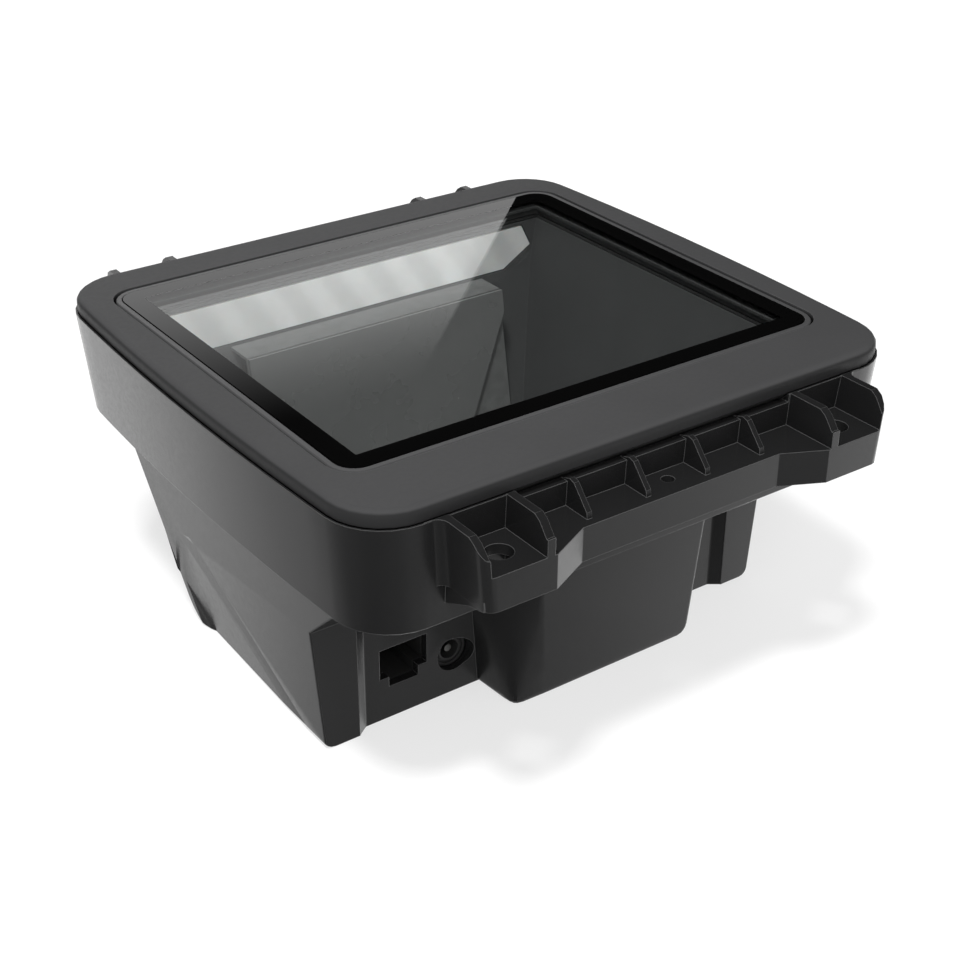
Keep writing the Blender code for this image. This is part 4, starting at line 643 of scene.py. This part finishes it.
def filled_housing():
    """A copy of the housing's mesh, the floors of its deep side recesses brought out to the walls."""
    mesh = nodes["main_housing"].data.copy()
    along = (DEEP_PEAK - CREASE_START).normalized()
    for vertex in mesh.vertices:
        x, y, z = vertex.co
        offset = Vector((y, z)) - CREASE_START
        deep = DEEP_SLOPE * (offset.x * along.y - offset.y * along.x)
        flat = WALL_FOOT + WALL_SLOPE * z
        if deep > NEAR and abs(flat - deep - abs(x)) < NEAR:
            vertex.co.x = math.copysign(max(wall_out(z), abs(x)), x)
    shape = bmesh.new()
    shape.from_mesh(mesh)
    bmesh.ops.remove_doubles(shape, verts=shape.verts, dist=JOIN_DISTANCE)
    bmesh.ops.dissolve_degenerate(shape, edges=shape.edges, dist=SHORTEST_EDGE)
    shape.to_mesh(mesh)
    shape.free()
    return mesh


def housing_shell():
    """The moulded housing again, with side recesses as shallow as in the photograph."""
    made = add_piece("housing_shell", filled_housing())
    cutters = [pocket_cutter(-1), pocket_cutter(1)]
    for cutter in cutters:
        step = made.modifiers.new("pocket", "BOOLEAN")
        step.operation = "DIFFERENCE"
        step.solver = "EXACT"
        step.object = cutter
    graph = bpy.context.evaluated_depsgraph_get()
    made.data = bpy.data.meshes.new_from_object(made.evaluated_get(graph))
    made.modifiers.clear()
    for cutter in cutters:
        bpy.data.objects.remove(cutter)
    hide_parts("main_housing")
    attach(made, "root")
    return made


shell = housing_shell()
smooth_by_angle = smoothing()
for part in [*nodes.values(), shell]:
    step = part.modifiers.new("smooth_by_angle", "NODES")
    step.node_group = smooth_by_angle
    weighted = part.modifiers.new("flat_faces_stay_flat", "WEIGHTED_NORMAL")
    weighted.keep_sharp = True
    weighted.weight = LARGE_FACE_WEIGHT


def dress(finish, *parts):
    """Gives one finish to nodes by name, or to a new piece."""
    for part in parts:
        mesh = nodes[part].data if part in nodes else part.data
        mesh.materials.clear()
        mesh.materials.append(finish)


housing_color = (0.012, 0.012, 0.0122)
# The last amount of a finish, 0.03 when left out, lightens its edges as a painted highlight.
housing = moulded_plastic("housing_plastic", housing_color, 0.25, edge=0.00025, depth=0.000005, edge_highlight=0.08)
trim = moulded_plastic("trim_plastic", (0.056, 0.056, 0.057), 0.34, edge=0.0002, depth=0.000004)
dark_plastic = moulded_plastic("holder_plastic", (0.012, 0.012, 0.012), 0.45, edge=0.0002)
hood = moulded_plastic("hood_plastic", HOOD_COLOR, 0.62, depth=0.00002, shine=0.3, edge_highlight=0.01)
board = circuit_board()
package = chip_package()
sheet = metal("grey_sheet_metal", (0.15, 0.15, 0.15), 0.50, metallic=0.0)
steel = metal("plated_screw_steel", (0.52, 0.52, 0.53), 0.32)
can = metal("can_aluminium", (0.62, 0.62, 0.63), 0.36, stretch=(12.0, 12.0, 1.0))

dress(housing, "main_housing", shell)
dress(bezel_plastic(), "top_bezel")
dress(trim, "window_frame")
dress(foam("border_pad", HOOD_COLOR, 0.85), "window_gasket")
dress(window_glass(), "window_glass")
dress(foam("seal_foam", HOOD_COLOR, 0.95), "dust_seal")
dress(hood, "optics_hood")
dress(coated_mirror(), "mirror")
dress(sheet, "mirror_bracket", "camera_bracket")
dress(diffuser(), "light_diffuser")
dress(board, "light_board", "camera_board", "main_board")
dress(lamp_package(), *[f"led_{number}" for number in range(1, 9)])
dress(dark_plastic, "lens_holder", "buzzer", "cable_connector")
dress(coated_lens(), "camera_lens")
dress(package, "decoder_chip", "memory_chip")
dress(can, "capacitor_1", "capacitor_2")
dress(network_plastic(), "network_jack")
dress(supply_plastic(), "supply_jack")
dress(ribbon(), "flat_cable")
dress(steel, *[name for name in nodes if "_screw_" in name])


def floor():
    """Seamless pale floor with a soft light of its own, so that shadows stay faint; that light is weaker
    near the object, painted shade that deepens the real shadows around it.
    """
    look = Look("studio_floor")
    cloud = look.noise(0.4, 2.0)
    base = look.blend(look.even(cloud), (0.29, 0.29, 0.29), (0.31, 0.31, 0.31))
    away = look.add("ShaderNodeVectorMath", operation="LENGTH")
    look.feed(away.inputs[0], look.place)
    look.surface(
        Base_Color=base,
        Roughness=0.9,
        Specular_IOR_Level=0.0,
        Emission_Color=WHITE,
        Emission_Strength=look.spread(away.outputs["Value"], FLOOR_NEAR, FLOOR_FAR, FLOOR_SHADED_GLOW, 1.0),
    )
    mesh = bpy.data.meshes.new("studio_floor")
    corners = [(x * FLOOR_HALF, y * FLOOR_HALF, 0.0) for x, y in ((-1, -1), (1, -1), (1, 1), (-1, 1))]
    mesh.from_pydata(corners, [], [(0, 1, 2, 3)])
    made = add_piece("studio_floor", mesh, look.material)
    made.location.z = -FLOOR_DROP
    made.visible_glossy = False


def lamp(name, place, size, power):
    """Square area lamp aimed at the origin. Nothing glossy mirrors it."""
    data = bpy.data.lights.new(name, "AREA")
    data.shape = "RECTANGLE"
    data.size = size
    data.size_y = size
    data.energy = power
    made = bpy.data.objects.new(name, data)
    bpy.context.scene.collection.objects.link(made)
    made.location = place
    made.rotation_mode = "QUATERNION"
    made.rotation_quaternion = (-Vector(place)).to_track_quat("-Z", "Y")
    made.visible_camera = False
    made.visible_glossy = False


def only_in_reflections(made):
    """Keeps a stage piece out of everything but what glossy surfaces mirror."""
    made.visible_camera = False
    made.visible_diffuse = False
    made.visible_shadow = False
    made.visible_transmission = False


def reflection_tent():
    """Tent that the plastic mirrors: bright low at the right and back, dark at the front left and above."""
    look = Look("reflection_tent")
    flat = look.add("ShaderNodeVectorMath", operation="MULTIPLY")
    look.feed(flat.inputs[0], look.place)
    look.feed(flat.inputs[1], (1.0, 1.0, 0.0))
    heading = look.add("ShaderNodeVectorMath", operation="NORMALIZE")
    look.feed(heading.inputs[0], flat.outputs[0])
    towards = look.add("ShaderNodeVectorMath", operation="DOT_PRODUCT")
    look.feed(towards.inputs[0], heading.outputs[0])
    look.feed(towards.inputs[1], (math.cos(TENT_AZIMUTH), math.sin(TENT_AZIMUTH), 0.0))
    turn = look.math("DEGREES", look.math("ARCCOSINE", towards.outputs["Value"]))
    side = TENT_TONES[0][1]
    for (before, _), (after, tone) in zip(TENT_TONES, TENT_TONES[1:]):
        side = look.spread(turn, before, after, side, tone, smooth=False)
    up = look.math("DIVIDE", look.axis(2), TENT_RADIUS)
    low = look.spread(up, *TENT_TOP, 1.0, 0.0)
    deep = look.spread(up, *TENT_DEPTHS, 0.45, 1.0)
    look.glow(look.math("MULTIPLY", look.math("MULTIPLY", side, low), deep))
    shape = bmesh.new()
    bmesh.ops.create_icosphere(shape, subdivisions=4, radius=TENT_RADIUS)
    mesh = bpy.data.meshes.new("reflection_tent")
    shape.to_mesh(mesh)
    shape.free()
    only_in_reflections(add_piece("reflection_tent", mesh, look.material))


def reflection_card():
    """Pale card behind the object: the window mirrors it, with its slanted right edge."""
    look = Look("reflection_card")
    fade = look.spread(look.axis(2), *CARD_FADE, 1.0, 0.0)
    look.glow(look.math("MULTIPLY", fade, CARD_GLOW))
    mesh = bpy.data.meshes.new("reflection_card")
    corners = [
        (CARD_LEFT, CARD_BACK, CARD_BOTTOM),
        (CARD_RIGHT_LOW, CARD_BACK, CARD_BOTTOM),
        (CARD_RIGHT_HIGH, CARD_BACK, CARD_TOP),
        (CARD_LEFT, CARD_BACK, CARD_TOP),
    ]
    mesh.from_pydata(corners, [], [(0, 1, 2, 3)])
    only_in_reflections(add_piece("reflection_card", mesh, look.material))


def surroundings():
    """White behind the object, and an even fill of light that nothing glossy mirrors."""
    world = bpy.data.worlds.new("studio")
    bpy.context.scene.world = world
    world.use_nodes = True
    tree = world.node_tree
    tree.nodes.clear()
    path = tree.nodes.new("ShaderNodeLightPath")
    seen = tree.nodes.new("ShaderNodeBackground")
    around = tree.nodes.new("ShaderNodeBackground")
    for shade, strength in ((seen, 1.0), (around, FILL)):
        shade.inputs["Color"].default_value = (*WHITE, 1.0)
        shade.inputs["Strength"].default_value = strength
    choice = tree.nodes.new("ShaderNodeMixShader")
    end = tree.nodes.new("ShaderNodeOutputWorld")
    tree.links.new(path.outputs["Is Camera Ray"], choice.inputs["Fac"])
    tree.links.new(around.outputs[0], choice.inputs[1])
    tree.links.new(seen.outputs[0], choice.inputs[2])
    tree.links.new(choice.outputs[0], end.inputs["Surface"])
    world.cycles_visibility.glossy = False


def camera():
    """Camera at the photograph's viewing angle."""
    azimuth = math.radians(CAMERA_AZIMUTH)
    elevation = math.radians(CAMERA_ELEVATION)
    roll = math.radians(CAMERA_ROLL)
    back = Vector((
        math.sin(azimuth) * math.cos(elevation),
        -math.cos(azimuth) * math.cos(elevation),
        math.sin(elevation),
    ))
    level = Vector((math.cos(azimuth), math.sin(azimuth), 0.0))
    above = back.cross(level)
    right = level * math.cos(roll) + above * math.sin(roll)
    up = above * math.cos(roll) - level * math.sin(roll)
    data = bpy.data.cameras.new("photo_camera")
    data.lens = CAMERA_LENS
    data.sensor_width = SENSOR_WIDTH
    data.clip_start = 0.01
    data.clip_end = 50.0
    made = bpy.data.objects.new("photo_camera", data)
    bpy.context.scene.collection.objects.link(made)
    turn = Matrix((right, up, back)).transposed().to_4x4()
    made.matrix_world = Matrix.Translation(CAMERA_PLACE) @ turn
    bpy.context.scene.camera = made


floor()
reflection_tent()
reflection_card()
lamp("key", KEY_PLACE, KEY_SIZE, KEY_POWER)
lamp("front", FRONT_PLACE, FRONT_SIZE, FRONT_POWER)
surroundings()
camera()
bpy.context.scene.view_settings.view_transform = "Standard"
